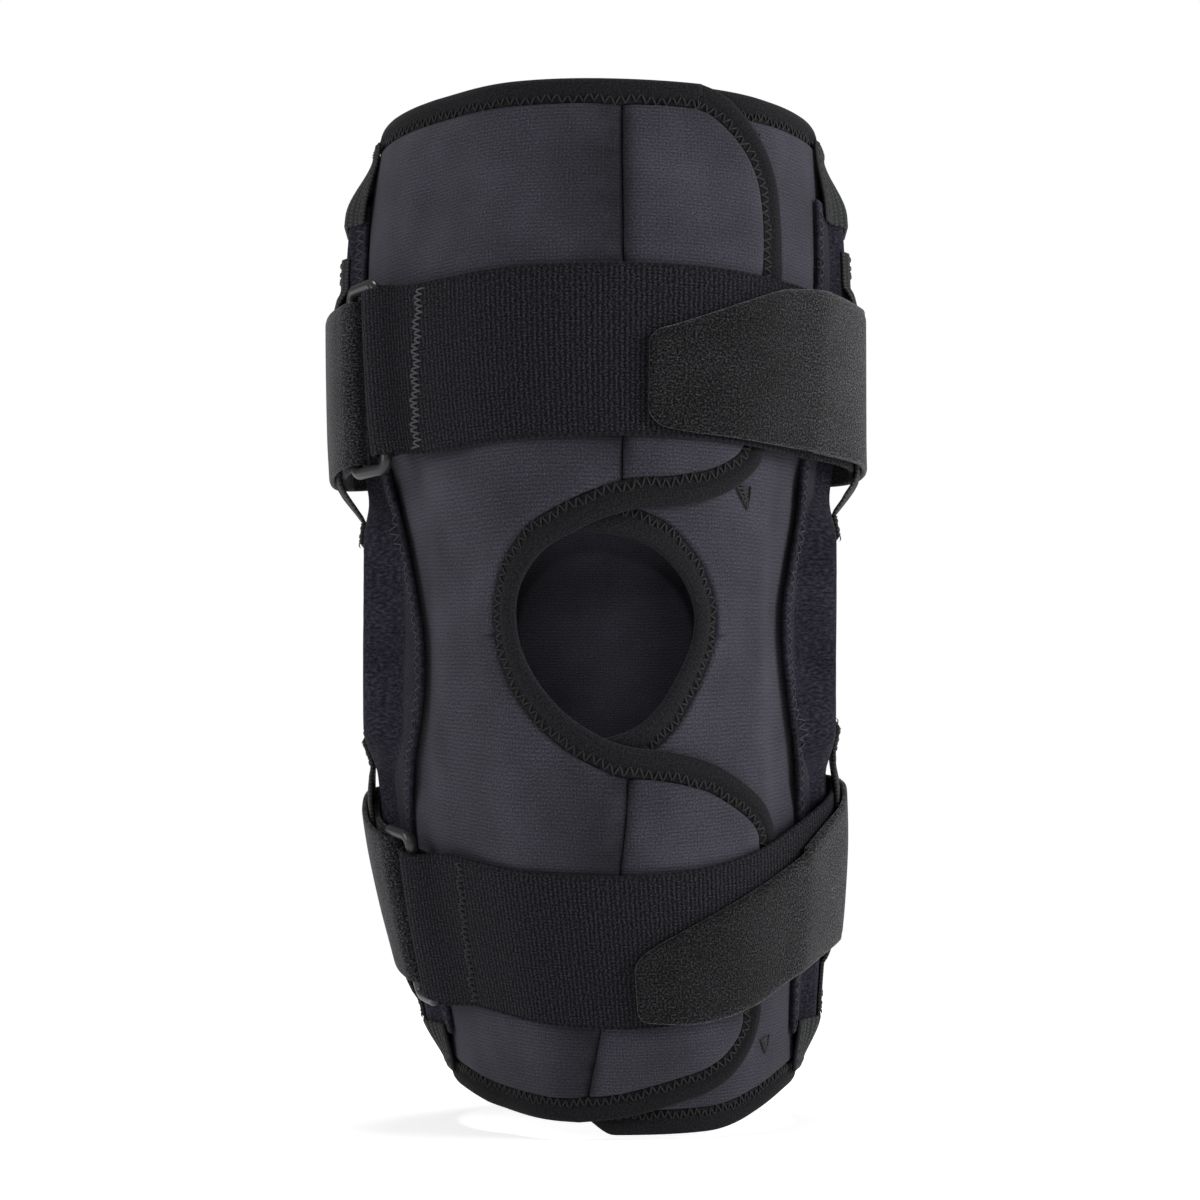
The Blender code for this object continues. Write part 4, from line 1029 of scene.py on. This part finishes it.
def across(level, start, end, step=1.8):
    """Points from one phi to another; level is a height, or a function of phi."""
    phi = np.linspace(start, end, max(2, int(abs(end - start) * MM_PER_DEG / step)))
    z = level(phi) if callable(level) else level
    return np.stack([phi, z * np.ones_like(phi)], -1)


left_outline = np.concatenate([
    across(lambda phi: bottom_left(phi) + TAPE, -SIDE_PHI, -14.2)[:-1],
    sew_left[low_end:][::-1],
    along(seam_low, SEAM_LOW_SPAN, -0.05),
    sew_left[up_cross:low_cross + 1][::-1],
    along(seam_up, SEAM_UP_SPAN, -0.05),
    across(TOP_SEW, 5.5, -SIDE_PHI)[1:],
    line((-SIDE_PHI, TOP_SEW), (-SIDE_PHI, SIDE_LOW))[1:-1],
])
right_outline = np.concatenate([
    line((UNDERLAP_PHI, sew_right[0][1]), sew_right[0])[:-1],
    sew_right,
    line(sew_right[-1], (UNDERLAP_PHI, sew_right[-1][1]))[1:],
    line(
        (UNDERLAP_PHI, sew_right[-1][1]), (UNDERLAP_PHI, bottom_right(UNDERLAP_PHI) + TAPE)
    )[1:-1],
    across(lambda phi: bottom_right(phi) + TAPE, UNDERLAP_PHI, SIDE_PHI),
    line((SIDE_PHI, SIDE_LOW), (SIDE_PHI, TOP_SEW))[1:-1],
    across(TOP_SEW, SIDE_PHI, UNDERLAP_PHI),
    line((UNDERLAP_PHI, TOP_SEW), (UNDERLAP_PHI, sew_right[0][1]))[1:-1],
])
flap_up_outline = np.concatenate([
    sew_left[:up_cross],
    along(seam_up, SEAM_UP_SPAN, 0.05),
    across(TOP_SEW, seam_up(TOP_SEW) + 0.4, sew_left[0][0] - 0.4),
])
flap_low_outline = np.concatenate([
    sew_left[low_cross + 1:low_end],
    along(seam_low, SEAM_LOW_SPAN, 0.05),
])
back_outline = np.concatenate([
    across(BACK_BOTTOM + TAPE, 95.5, 264.5)[:-1],
    line((264.5, SIDE_LOW), (264.5, TOP_SEW))[:-1],
    across(TOP_SEW, 264.5, 95.5)[:-1],
    line((95.5, TOP_SEW), (95.5, SIDE_LOW))[:-1],
])


# ------------------------------------------------------------------ neoprene fronts, back, flaps
def pillow(distance):
    """Foam swells a little a few millimetres in from a stitched edge."""
    return 0.42 * np.exp(-(((distance - 4.5) / 3.2) ** 2))


def strap_free(phi, z):
    """1 away from the straps and 0 under them, so that nothing swells into a strap."""
    at = wrap180(phi)
    clear = []
    for strap_mid, half, tab_top, tab_start in (
        (upper_mid, UPPER_HALF, up_tab_top, 9),
        (lower_mid, LOWER_HALF, lo_tab_top, 4),
    ):
        middle = strap_mid(at)
        off = np.abs(z - middle) - half
        by_tab = (at > tab_start) & (z > middle)
        clear.append(np.where(by_tab, np.minimum(off, z - tab_top(at)), off))
    return smooth(np.minimum(*clear) / 5.0)


def crown_left(phi, z, distance):
    seam = np.where(z > 0, seam_up(z), seam_low(z))
    off = np.abs(phi - seam) * MM_PER_DEG
    # small gathers that run out of the front seam
    ripple = np.sin(z * 2 * math.pi / 8.3 + 1.3 * np.sin(z * 0.21))
    gathers = 0.5 * np.exp(-off / 5.0) * ripple * smooth(off)
    groove = np.where(phi < seam, 1.7 * np.exp(-off / 4.2), 1.0 * np.exp(-off / 1.8))
    shoulder = 0.7 * np.exp(-(((off - 11.0) / 5.0) ** 2))
    swell = pillow(distance) + gathers - groove + shoulder
    return swell * strap_free(phi, z) * smooth((-phi + 62) / 8) * smooth((phi + 62) / 8)


def crown_right(phi, z, distance):
    near_opening = smooth((phi - 40) / 8 + 1 - smooth((np.abs(z) - 26) / 4))
    return pillow(distance) * strap_free(phi, z) * smooth((62 - phi) / 6) * near_opening


def pad_room(phi, z):
    """The condyle pad lies on the outside of the sleeve, inside the pocket, and presses it
    towards the leg there."""
    at = np.abs(wrap180(phi))
    around = 1.5 * smooth((at - 50.0) / 8.0) * smooth((130.0 - at) / 8.0)
    return around * smooth((52.0 - np.abs(z)) / 12.0)


def base_left(phi, z):
    return left_lift(phi) + relief(phi, z) - pad_room(phi, z)


def base_under(phi, z):
    return relief(phi, z) - pad_room(phi, z)


def base_flap(phi, z):
    return OVERLAP + relief(phi, z)


def thick_right(phi, z):
    return np.where(phi < 49, np.where(np.abs(z) > 28, 2.75, 2.9), NEOPRENE)


fit_panel(
    cloth("front_left", left_outline, base_left, NEOPRENE, step=1.9, roll=1.7, soft=crown_left),
    "front_panel_left",
)
fit_panel(
    cloth(
        "front_right", right_outline, base_under, thick_right, step=2.1, roll=1.3, soft=crown_right
    ),
    "front_panel_right",
)
for half, outline in (("upper", flap_up_outline), ("lower", flap_low_outline)):
    flap = cloth(f"flap_{half}", outline, base_flap, 2.9, step=1.7, roll=1.7, soft=crown_left)
    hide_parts(f"closure_flap_{half}")
    bend(flap, half)
fit_panel(
    cloth("back_panel", back_outline, base_under, NEOPRENE, step=2.8, roll=1.0), "back_panel"
)


# ------------------------------------------------------------------ bound edges
# Cross-section of the folded tape, (share of its width from the free edge, share of height):
# round at the free edge, pressed down where the zigzag runs.
TAPE_PRESS = 0.95
TAPE_OUTER = [
    (0, 0.46), (0.015, 0.66), (0.06, 0.82), (0.14, 0.94), (0.25, 1.01), (0.38, 1.04), (0.5, 1),
    (0.59, 0.86), (0.67, 0.72), (0.8, 0.68), (0.92, 0.67), (1, 0.55),
]
TAPE_INNER = [
    (1, 0.16), (0.9, 0.04), (0.6, 0), (0.3, 0), (0.11, 0.035), (0.045, 0.12), (0.012, 0.28),
]
ZIGZAG_IN = 0.8  # share of the tape's width where the zigzag runs
LEFT_TAPE, RIGHT_TAPE, TOP_LEFT_TAPE = 3.25, 3.0, 3.3  # heights


def left_seat(phi):
    return left_lift(phi) - 0.12


def right_seat(phi):
    return -0.15


def tape(name, edge, back, height, seat):
    """A tape between its free edge and its sewn edge, two lines of equal length."""
    section = [(w, height * (1 - (1 - t) * TAPE_PRESS)) for w, t in TAPE_OUTER]
    section += [(w, height * t) for w, t in TAPE_INNER]
    share, rise = np.array(section, float).T
    n, sides = len(edge), len(section)
    phi = edge[:, None, 0] * (1 - share) + back[:, None, 0] * share
    z = edge[:, None, 1] * (1 - share) + back[:, None, 1] * share
    grid = on_leg(phi, z, seat(phi) + relief(phi, z) + rise)
    arc = np.concatenate([[0], np.cumsum(np.hypot(np.diff(share) * TAPE, np.diff(rise)))])
    run = run_along(edge * FLAT)
    uvs = np.stack(np.broadcast_arrays(arc[None, :], run[:, None]), -1).reshape(-1, 2)
    faces = np.roll(ring_faces(n, sides), 1, axis=1).tolist()
    faces += [f[::-1] for f in end_caps(0, (n - 1) * sides, sides)]
    k, j = n // 2, sides // 4  # one face on the outer side shows which way round they are
    corner = grid[k, j]
    normal = np.cross(grid[k, j + 1] - corner, grid[k + 1, j] - corner)
    if normal @ (corner - grid.mean(axis=1)[k]) < 0:
        faces = [f[::-1] for f in faces]
    return piece(name, grid.reshape(-1, 3), faces, uvs, "binding", z.ravel())


fit_halves(
    tape("edge_tape_left", edge_left, sew_left, LEFT_TAPE, left_seat),
    ("patella_binding_left", "flap_binding_upper"),
    ("patella_binding_left", "flap_binding_lower"),
)
fit_halves(
    tape("edge_tape_right", edge_right, sew_right, RIGHT_TAPE, right_seat),
    ("patella_binding_right",),
    ("patella_binding_right",),
)
top_left_edge = across(TOP_Z, -180.0, 25.2, 1.6)
top_right_edge = across(TOP_Z, UNDERLAP_PHI, 180.0, 1.6)
bottom_left_edge = across(bottom_left, -180.0, -14.4, 1.6)
bottom_right_edge = across(bottom_right, UNDERLAP_PHI, 180.0, 1.6)
for end, side, edge, width, height, seat, body in (
    ("top", "left", top_left_edge, -TAPE, TOP_LEFT_TAPE, left_seat, "thigh"),
    ("top", "right", top_right_edge, -TAPE, RIGHT_TAPE, right_seat, "thigh"),
    ("bottom", "left", bottom_left_edge, TAPE, LEFT_TAPE, left_seat, "shank"),
    ("bottom", "right", bottom_right_edge, TAPE, RIGHT_TAPE, right_seat, "shank"),
):
    made = tape(f"{end}_tape_{side}", edge, edge + (0, width), height, seat)
    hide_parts(f"{end}_binding_{side}")
    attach(made, body)


def tape_zigzag(path, height, seat):
    top = height * (1 - TAPE_PRESS * 0.29)
    return zigzag(path, lambda phi, z: seat(phi) + relief(phi, z) + top, amp=1.35, pitch=2.7)


zigzag_in = TAPE * ZIGZAG_IN
left_row = edge_left + (sew_left - edge_left) * ZIGZAG_IN
right_row = edge_right + (sew_right - edge_right) * ZIGZAG_IN
sewn("zigzag_left", "thread", tape_zigzag(left_row, LEFT_TAPE, left_seat))
sewn("zigzag_right", "thread", tape_zigzag(right_row, RIGHT_TAPE, right_seat))
sewn("zigzag_top", "thread", join(
    tape_zigzag(top_left_edge - (0, zigzag_in), TOP_LEFT_TAPE, left_seat),
    tape_zigzag(across(TOP_Z - zigzag_in, 27.0, 179.0), RIGHT_TAPE, right_seat),
))
bottom_right_row = across(lambda phi: bottom_right(phi) + zigzag_in, UNDERLAP_PHI, 179.0)
sewn("zigzag_bottom", "thread", join(
    tape_zigzag(bottom_left_edge + (0, zigzag_in), LEFT_TAPE, left_seat),
    tape_zigzag(bottom_right_row, RIGHT_TAPE, right_seat),
))


# ------------------------------------------------------------------ hinge pockets
def pocket(label, side):
    roll = 0.8
    rows = np.concatenate([
        np.linspace(POCKET_LOW, 0.0, 62), np.linspace(0.0, POCKET_HIGH, 67)[1:]
    ])
    near_end = np.array([0.04, 0.15, 0.35, 0.8])
    rows = np.concatenate([rows, POCKET_LOW + near_end, POCKET_HIGH - near_end])
    rows = np.sort(np.unique(rows))
    us = stations(65.0, 1.5, roll)
    front, rear = 90 - front_edge[side](rows), 90 + rear_edge(rows)
    phi = front[:, None] * (1 - us) + rear[:, None] * us
    z = np.repeat(rows[:, None], len(us), axis=1)
    grid = lean(pocket_inner(side, phi, z))
    from_side = np.minimum(us, 1 - us)[None, :] * ((rear - front) * MM_PER_DEG)[:, None]
    from_end = np.minimum(rows - POCKET_LOW, POCKET_HIGH - rows)[:, None]
    profile = quarter_round(from_side, roll) * quarter_round(from_end, roll)
    uv = np.stack([phi * MM_PER_DEG * side, z], -1)
    name = f"hinge_pocket_{label}"
    half = profile * POCKET_SKIN / 2
    fit_panel(shell(name, "plush", grid, half, uv, flip=side > 0, shift=1.0), name)


def pocket_stitches(label, side):
    def place(phi, z, off):
        return lean(pocket_inner(side, side * phi, z, off))

    z = np.linspace(POCKET_LOW + 2, POCKET_HIGH - 2, 160)
    rows = [
        zigzag(np.stack([side * phi, z], -1), POCKET_SKIN - 0.05, amp=1.2, pitch=2.9, place=place)
        for phi in (90 - front_edge[side](z) + 1.9, 90 + rear_edge(z) - 1.9)
    ]
    sewn(f"zigzag_pocket_{label}", "thread_pocket", join(*rows), radius=0.24)


for label, side in (("left", -1), ("right", 1)):
    pocket(label, side)
    pocket_stitches(label, side)


def cap_face(side, phi, z, extra):
    """The cap lies over the end of the pocket and comes down to the neoprene beyond it."""
    on = smooth(np.where(z > 0, (z - 125.0) / 18.0, (-114.0 - z) / 18.0))[..., None]
    over_pocket = pocket_inner(side, phi, z, POCKET_SKIN + 0.3 + extra)
    on_neoprene = flat_point(side * phi, z, NEOPRENE + GAP + extra)
    return lean(over_pocket + (on_neoprene - over_pocket) * on)


def cap(label, side, tag, z_lo, z_hi, front):
    """front is how many degrees it reaches before the hinge line."""
    width, height, roll = 34.0, z_hi - z_lo, 0.6
    first, last = 90 - front, 90 + 16
    us, vs = stations(width, 1.4, roll), stations(height, 1.2, roll)
    phi, z = np.meshgrid(first * (1 - us) + last * us, z_lo + height * vs, indexing="ij")
    profile = rolled(us, width, roll)[:, None] * rolled(vs, height, roll)[None, :]
    uv = np.stack([phi * MM_PER_DEG, z], -1)
    grid = cap_face(side, phi, z, 0.0)
    name = f"pocket_cap_{label}_{tag}"
    obj = shell(name, "webbing", grid, profile * 0.65, uv, flip=side < 0, shift=1.0)
    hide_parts(name)
    body = "thigh" if tag == "upper" else "shank"
    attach(obj, body)

    def place(phi, z, off):
        return cap_face(side, side * phi, z, off)

    far = z_hi - 1.6 if tag == "upper" else z_lo + 1.6
    ahead, behind = side * (first + 2), side * (last - 2)
    rows = join(*(dashes(path, 1.2, place) for path in (
        [(ahead, z_lo + 2), (ahead, z_hi - 2)],
        [(behind, z_lo + 2), (behind, z_hi - 2)],
        [(ahead, far), (behind, far)],
    )))
    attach(stitches(f"cap_stitch_{label}_{tag}", "thread_pocket", rows, radius=0.2), body)


cap("left", -1, "upper", 121.5, 146.0, front=14)
cap("right", 1, "upper", 121.5, 146.0, front=17)
cap("left", -1, "lower", -130.2, -115.4, front=17)
cap("right", 1, "lower", -130.2, -114.4, front=18)


# ------------------------------------------------------------------ straps
def ribbon(name, look, path, low, high, thick):
    """A strap along a (phi, distance off) path; low and high give its edges at an angle."""
    path = spline(path, 1.3)
    run = run_along(path * FLAT)
    length = run[-1]
    roll = thick * 0.55
    near_end = np.concatenate([
        np.array([0.05, 0.18, 0.42]) * roll, np.linspace(roll * 0.8, 5.0, 9)
    ])
    kept = (run < 0.01) | ((run > 5.1) & (run < length - 5.1)) | (run > length - 0.01)
    at = np.sort(np.concatenate([run[kept], near_end, length - near_end]))
    phi, off = (column[:, None] for column in pick_at(at, run, path).T)
    lo, hi = (edge(wrap180(phi[:, 0])) for edge in (low, high))
    width = float(np.mean(hi - lo))
    vs = stations(width, 2.2, roll)
    z = lo[:, None] + (hi - lo)[:, None] * vs
    phi, off, along_it = (np.repeat(c, len(vs), axis=1) for c in (phi, off, at[:, None]))
    ends = quarter_round(np.minimum(at, at[-1] - at), roll)
    half = ends[:, None] * rolled(vs, width, roll)[None, :] * thick / 2
    grid = strap_point(phi, z, off)
    return outward(shell(name, look, grid, half, np.stack([along_it, z], -1)))


def wrap_edge(mid, half, tab, sign):
    """Edge of the wrap strap, which takes the hook tab's width at the right front."""

    def edge(phi):
        plain = mid(phi) + sign * half
        t = smooth((phi - 90.0) / 35.0)
        return np.where(phi <= 0, plain, tab(np.minimum(phi, 90.0)) * (1 - t) + plain * t)

    return edge


def ring_path(centre, reach):
    """Rounded rectangle, (phi, z), with points at most 2.5 mm apart."""
    points = []
    for corner_phi, sign, start in ((-65.6, -1, 270), (-65.6, 1, 0), (-73, 1, 90), (-73, -1, 180)):
        for step in range(13):
            angle = math.radians(start + 7.5 * step)
            z = centre + sign * (reach - 3.0) + 3.0 * math.sin(angle)
            points.append((corner_phi + 2.6 * math.cos(angle), z))
    dense = []
    for (phi, z), (phi_next, z_next) in zip(points, points[1:] + points[:1]):
        gap = math.hypot((phi_next - phi) * MM_PER_DEG, z_next - z)
        steps = max(1, int(gap / 2.5))
        dense += [
            (phi + (phi_next - phi) * k / steps, z + (z_next - z) * k / steps)
            for k in range(steps)
        ]
    return np.array(dense).T


def strap_set(tag, mid, half, tab_top, tab_low, tab_end, body, column, column_ends, loop_look):
    """Front elastic, wrap strap, hook tab and ring. The loop's stitches lie near phi column;
    column_ends shifts their lower and upper end."""

    def low(phi):
        return mid(phi) - half

    def high(phi):
        return mid(phi) + half

    web = ribbon(f"front_elastic_{tag}", "elastic", ELASTIC_PATH, low, high, thick=1.5)
    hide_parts(f"front_elastic_{tag}")
    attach(web, body)
    wrap_low, wrap_high = wrap_edge(mid, half, tab_low, -1), wrap_edge(mid, half, tab_top, 1)
    wrap = ribbon(f"wrap_strap_{tag}", "strap", WRAP_PATH, wrap_low, wrap_high, thick=1.6)
    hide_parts(f"wrap_strap_{tag}")
    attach(wrap, body)

    for edge_name, edge, inset in (("top", high, -0.1), ("low", low, 0.1)):
        phi = np.linspace(-58.0, 60.0, 90)
        off = np.interp(
            phi,
            [-58, -52, -46.5, -40, -33, -27, -20, 57, 60],
            [10.8, 7.9, 6.4, 6.2, 6.4, 7.2, 7.75, 7.8, 8.0],
        )
        centres = strap_point(phi, edge(phi) + inset, off + 0.35)
        bead = tube(f"elastic_selvedge_{tag}_{edge_name}", "elastic", centres, 0.55, sides=8)
        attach(bead, body)

    corner = 3.2

    def round_off(phi):
        inset = np.clip(corner - (phi - tab_end) * MM_PER_DEG, 0, corner)
        return corner - np.sqrt(np.maximum(0.0, corner**2 - inset**2))

    tab_path = [
        (79, 14.8), (75.5, 14.05), (72, 13.3), (69, 12.75), (66, 12.3), (62, 12), (58, 11.75),
        (54, 11), (50, 10.3), (46, 10), *((46 - (46 - tab_end) * k / 5, 10) for k in range(1, 6)),
    ]
    tab = ribbon(
        f"hook_tab_{tag}", "tab", tab_path,
        lambda phi: tab_low(phi) + round_off(phi), lambda phi: tab_top(phi) - round_off(phi),
        thick=2.0,
    )
    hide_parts(f"hook_tab_{tag}")
    middle = float(tab_top(52.0) + tab_low(52.0)) / 2
    start, end = (world(on_leg(*at)).tolist() for at in ((53.5, middle, 11.0), (45.0, middle, 10.0)))
    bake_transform(tab)

    # the zigzag that closes the elastic's loop round the ring
    def surface(phi, z):
        places = [-60, -58, -52, -46.5, -40, -33]
        return np.interp(phi, places, [11.6, 11.6, 8.7, 7.15, 6.95, 7.15])

    low_end = (column + column_ends[0], float(low(column)) + 1.2)
    high_end = (column + column_ends[1], float(high(column)) - 1.2)
    rows = zigzag([low_end, high_end], surface, amp=1.25, pitch=1.75, jitter=0.4)
    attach(stitches(f"loop_stitch_{tag}", loop_look, rows, radius=0.3), body)

    rod = 1.75
    phi, z = ring_path(float(mid(-69.0)), half + 1.2 + rod)
    centres = strap_point(phi, z, 9.5 + 0.5 * smooth((-66.0 - phi) / 8.0))
    ring = tube(f"strap_ring_{tag}", "ring", centres, rod, sides=16, closed=True)
    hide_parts(f"strap_ring_{tag}")
    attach(ring, body)


strap_set(
    "upper", upper_mid, UPPER_HALF, up_tab_top, up_tab_low, tab_end=11.6, body="thigh",
    column=-46.2, column_ends=(-3.0, 2.2), loop_look="thread_light",
)
strap_set(
    "lower", lower_mid, LOWER_HALF, lo_tab_top, lo_tab_low, tab_end=5.0, body="shank",
    column=-41.0, column_ends=(-5.0, -0.8), loop_look="thread",
)


# ------------------------------------------------------------------ strap keepers
def keeper(label, side, tag, z_lo, z_hi, strap_lo, strap_hi):
    """A tape from z_lo to z_hi over the strap between strap_lo and strap_hi."""
    # it comes down more gently towards the knee
    below, above = (11.5, 7.5) if tag == "upper" else (7.5, 11.5)

    def ease(t):
        t = np.clip(t, 0, 1)
        return 0.6 * t + 0.4 * smooth(t)

    def face(phi, z, extra=0.0):
        """The inner face: on the pocket where it is sewn, lifted over the strap between."""
        base = pocket_inner(side, phi, z, POCKET_SKIN + 0.35 + extra)
        near = pocket_inner(side, phi, z, POCKET_SKIN + 1.1 + extra)
        rise, fall = ease((z - strap_lo + below) / below), ease((strap_hi + above - z) / above)
        lift = (rise * fall)[..., None]
        base = base + (near - base) * smooth(lift * 3)
        over = flat_point(side * phi, z, 11.75 + flare(phi, z) + extra)
        out = (over[..., 0] * side > base[..., 0] * side)[..., None]
        return lean(np.where(out, base + (over - base) * lift, base))

    width, height, roll = 19.0, z_hi - z_lo, 0.6
    us, vs = stations(width, 1.3, roll), stations(height, 1.5, roll)
    phi, z = np.meshgrid(90 - 9.0 + 18.0 * us, z_lo + height * vs, indexing="ij")
    profile = rolled(us, width, roll)[:, None] * rolled(vs, height, roll)[None, :]
    uv = np.stack([phi * MM_PER_DEG, z], -1)
    name = f"strap_keeper_{label}_{tag}"
    grid = face(phi, z)
    obj = outward(shell(name, "webbing", grid, profile * 0.6, uv, flip=side < 0, shift=1.0))
    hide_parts(name)

    def place(phi, z, off):
        return face(side * phi, z, 1.1 + off)

    # a box with one diagonal at each sewn end
    rows = []
    for low, high in (
        (z_lo + 1.0, min(strap_lo - below - 0.3, z_lo + 6.2)),
        (max(strap_hi + above + 0.3, z_hi - 6.2), z_hi - 1.0),
    ):
        box = [(side * phi, z) for phi, z in ((83, low), (97, low), (97, high), (83, high))]
        paths = [*zip(box, box[1:] + box[:1]), (box[0], box[2])]
        rows += [dashes(path, 0.0, place) for path in paths]
    threads = stitches(f"keeper_stitch_{label}_{tag}", "thread_pocket", join(*rows), radius=0.2)
    for part in (obj, threads):
        bend(part, tag)


keeper("left", -1, "upper", 26.0, 112.0, 43.8, 94.4)
keeper("right", 1, "upper", 28.0, 114.0, 46.4, 95.8)
keeper("left", -1, "lower", -115.0, -31.0, -102.4, -49.6)
keeper("right", 1, "lower", -114.0, -27.0, -91.2, -44.6)


# ------------------------------------------------------------------ tacks on the right front
def tack(name, *corners):
    """One thread run to and fro over a small triangle, from its left and right to its tip."""
    left, right, tip = (np.array(corner, float) for corner in corners)
    holes = []
    for k in range(13):
        t = k / 12.5
        holes.append((left if k % 2 == 0 else right) * (1 - t) + tip * t)
    for corner in (left, right):
        holes += [corner + (tip - corner) * t for t in np.linspace(0, 1, 6)]
    threads = needle(np.array(holes), lambda phi, z: relief(phi, z) + 3.0)
    sewn(name, "thread", threads, radius=0.34)


tack("tack_knee", (38.6, 38.6), (44.2, 38.4), (43.8, 32.4))
tack("tack_low", (50.0, -116.0), (55.0, -115.4), (52.8, -121.0))
tack("tack_top", (40.2, 142.0), (44.8, 140.6), (42.0, 136.2))

# ------------------------------------------------------------------ floor, in metres from here on
scene = bpy.context.scene


def floor_white():
    """White card: near the brace it takes a soft shadow, and further off it runs into the
    white of the backdrop. Its glow differs for the camera and for the light it gives."""
    n = Surface("floor_white")
    n.done((0.9, 0.9, 0.9), rough=0.95, spec=0.1)
    n.put(n.shader.inputs["Emission Color"], (1, 1, 1, 1))
    place = n.node("TexCoord").outputs["Object"]
    radius = n.node("VectorMath", {0: place}, operation="LENGTH").outputs["Value"]
    near, far = 0.30, 0.75
    fade_inputs = {0: radius, 1: near, 2: far, 3: 0.0, 4: 1.0}
    fade = n.node("MapRange", fade_inputs, interpolation_type="SMOOTHSTEP")
    glow = n.node("Emission")
    to_camera = n.node("LightPath").outputs["Is Camera Ray"]
    for socket, seen, given in (
        (n.shader.inputs["Emission Strength"], 0.66, 0.2),
        (glow.inputs["Strength"], 1.0, 0.8),
    ):
        n.put(socket, n.node("MapRange", {0: to_camera, 3: given, 4: seen}).outputs[0])
    mix = n.node("MixShader", {0: fade.outputs[0], 1: n.shader.outputs[0], 2: glow.outputs[0]})
    output = next(node for node in n.tree.nodes if node.type == "OUTPUT_MATERIAL")
    n.put(output.inputs[0], mix.outputs[0])
    return n.mat


floor_z = box_before[0].z - 0.0006
floor_mesh = bpy.data.meshes.new("floor")
floor_corners = [(x, y, floor_z) for x, y in ((-6, -6), (6, -6), (6, 6), (-6, 6))]
floor_mesh.from_pydata(floor_corners, [], [(0, 1, 2, 3)])
floor = bpy.data.objects.new("floor", floor_mesh)
floor_mesh.materials.append(floor_white())
scene.collection.objects.link(floor)

# ------------------------------------------------------------------ world, lights and camera
# The camera sees white; the brace is lit by a faint cool sky.
studio = bpy.data.worlds.new("studio")
scene.world = studio
studio.use_nodes = True
studio.node_tree.nodes.clear()
sky = Nodes(studio.node_tree)
to_camera = sky.node("LightPath").outputs["Is Camera Ray"]
seen = sky.node("Background", {"Color": (1, 1, 1, 1), "Strength": 1.0})
lit = sky.node("Background", {"Color": (0.93, 0.96, 1.0, 1), "Strength": 0.15})
mix = sky.node("MixShader", {0: to_camera, 1: lit.outputs[0], 2: seen.outputs[0]})
sky.node("OutputWorld", {0: mix.outputs[0]})


def add_object(name, data, at, rotation):
    obj = bpy.data.objects.new(name, data)
    obj.location = at
    obj.rotation_euler = rotation
    scene.collection.objects.link(obj)
    return obj


def area(name, at, aim, size, power, colour=(1, 1, 1)):
    data = bpy.data.lights.new(name, "AREA")
    data.shape, data.size, data.energy, data.color = "SQUARE", size, power, colour
    add_object(name, data, at, (Vector(aim) - Vector(at)).to_track_quat("-Z", "Y").to_euler())


area("left", at=(-1.27, -0.42, 0.52), aim=(0, 0, 0.02), size=0.8, power=6.6)
area("right", at=(1.25, -0.40, 0.42), aim=(0, 0, 0), size=0.8, power=13.4, colour=(0.98, 0.99, 1))
area("front", at=(-0.35, -1.45, 0.75), aim=(0, 0, 0), size=0.9, power=1.9)
area("inside", at=(0.0, 0.15, 1.1), aim=(0, 0.03, 0), size=0.35, power=5.0)

# A narrow lamp near the camera reaches the back panel's inside through the patella opening.
lamp = bpy.data.lights.new("opening", "SPOT")
lamp.energy = 22.0
lamp.spot_size = math.radians(3.0)
lamp.spot_blend = 1.0
lamp.shadow_soft_size = 0.02
lamp_obj = add_object("opening", lamp, (0.0, -1.30, 0.06), (0, 0, 0))
lamp_aim = Vector((0.003, -0.06, -0.006)) - lamp_obj.location
lamp_obj.rotation_euler = lamp_aim.to_track_quat("-Z", "Y").to_euler()

camera = bpy.data.cameras.new("camera")
camera.sensor_width, camera.lens, camera.clip_start = 36.0, 130.0, 0.01
camera_at = world((0.0, -1300.0, 10.0)).tolist()
scene.camera = add_object("camera", camera, camera_at, (math.radians(90), 0, 0))
scene.view_settings.view_transform = "Standard"
scene.view_settings.look = "None"
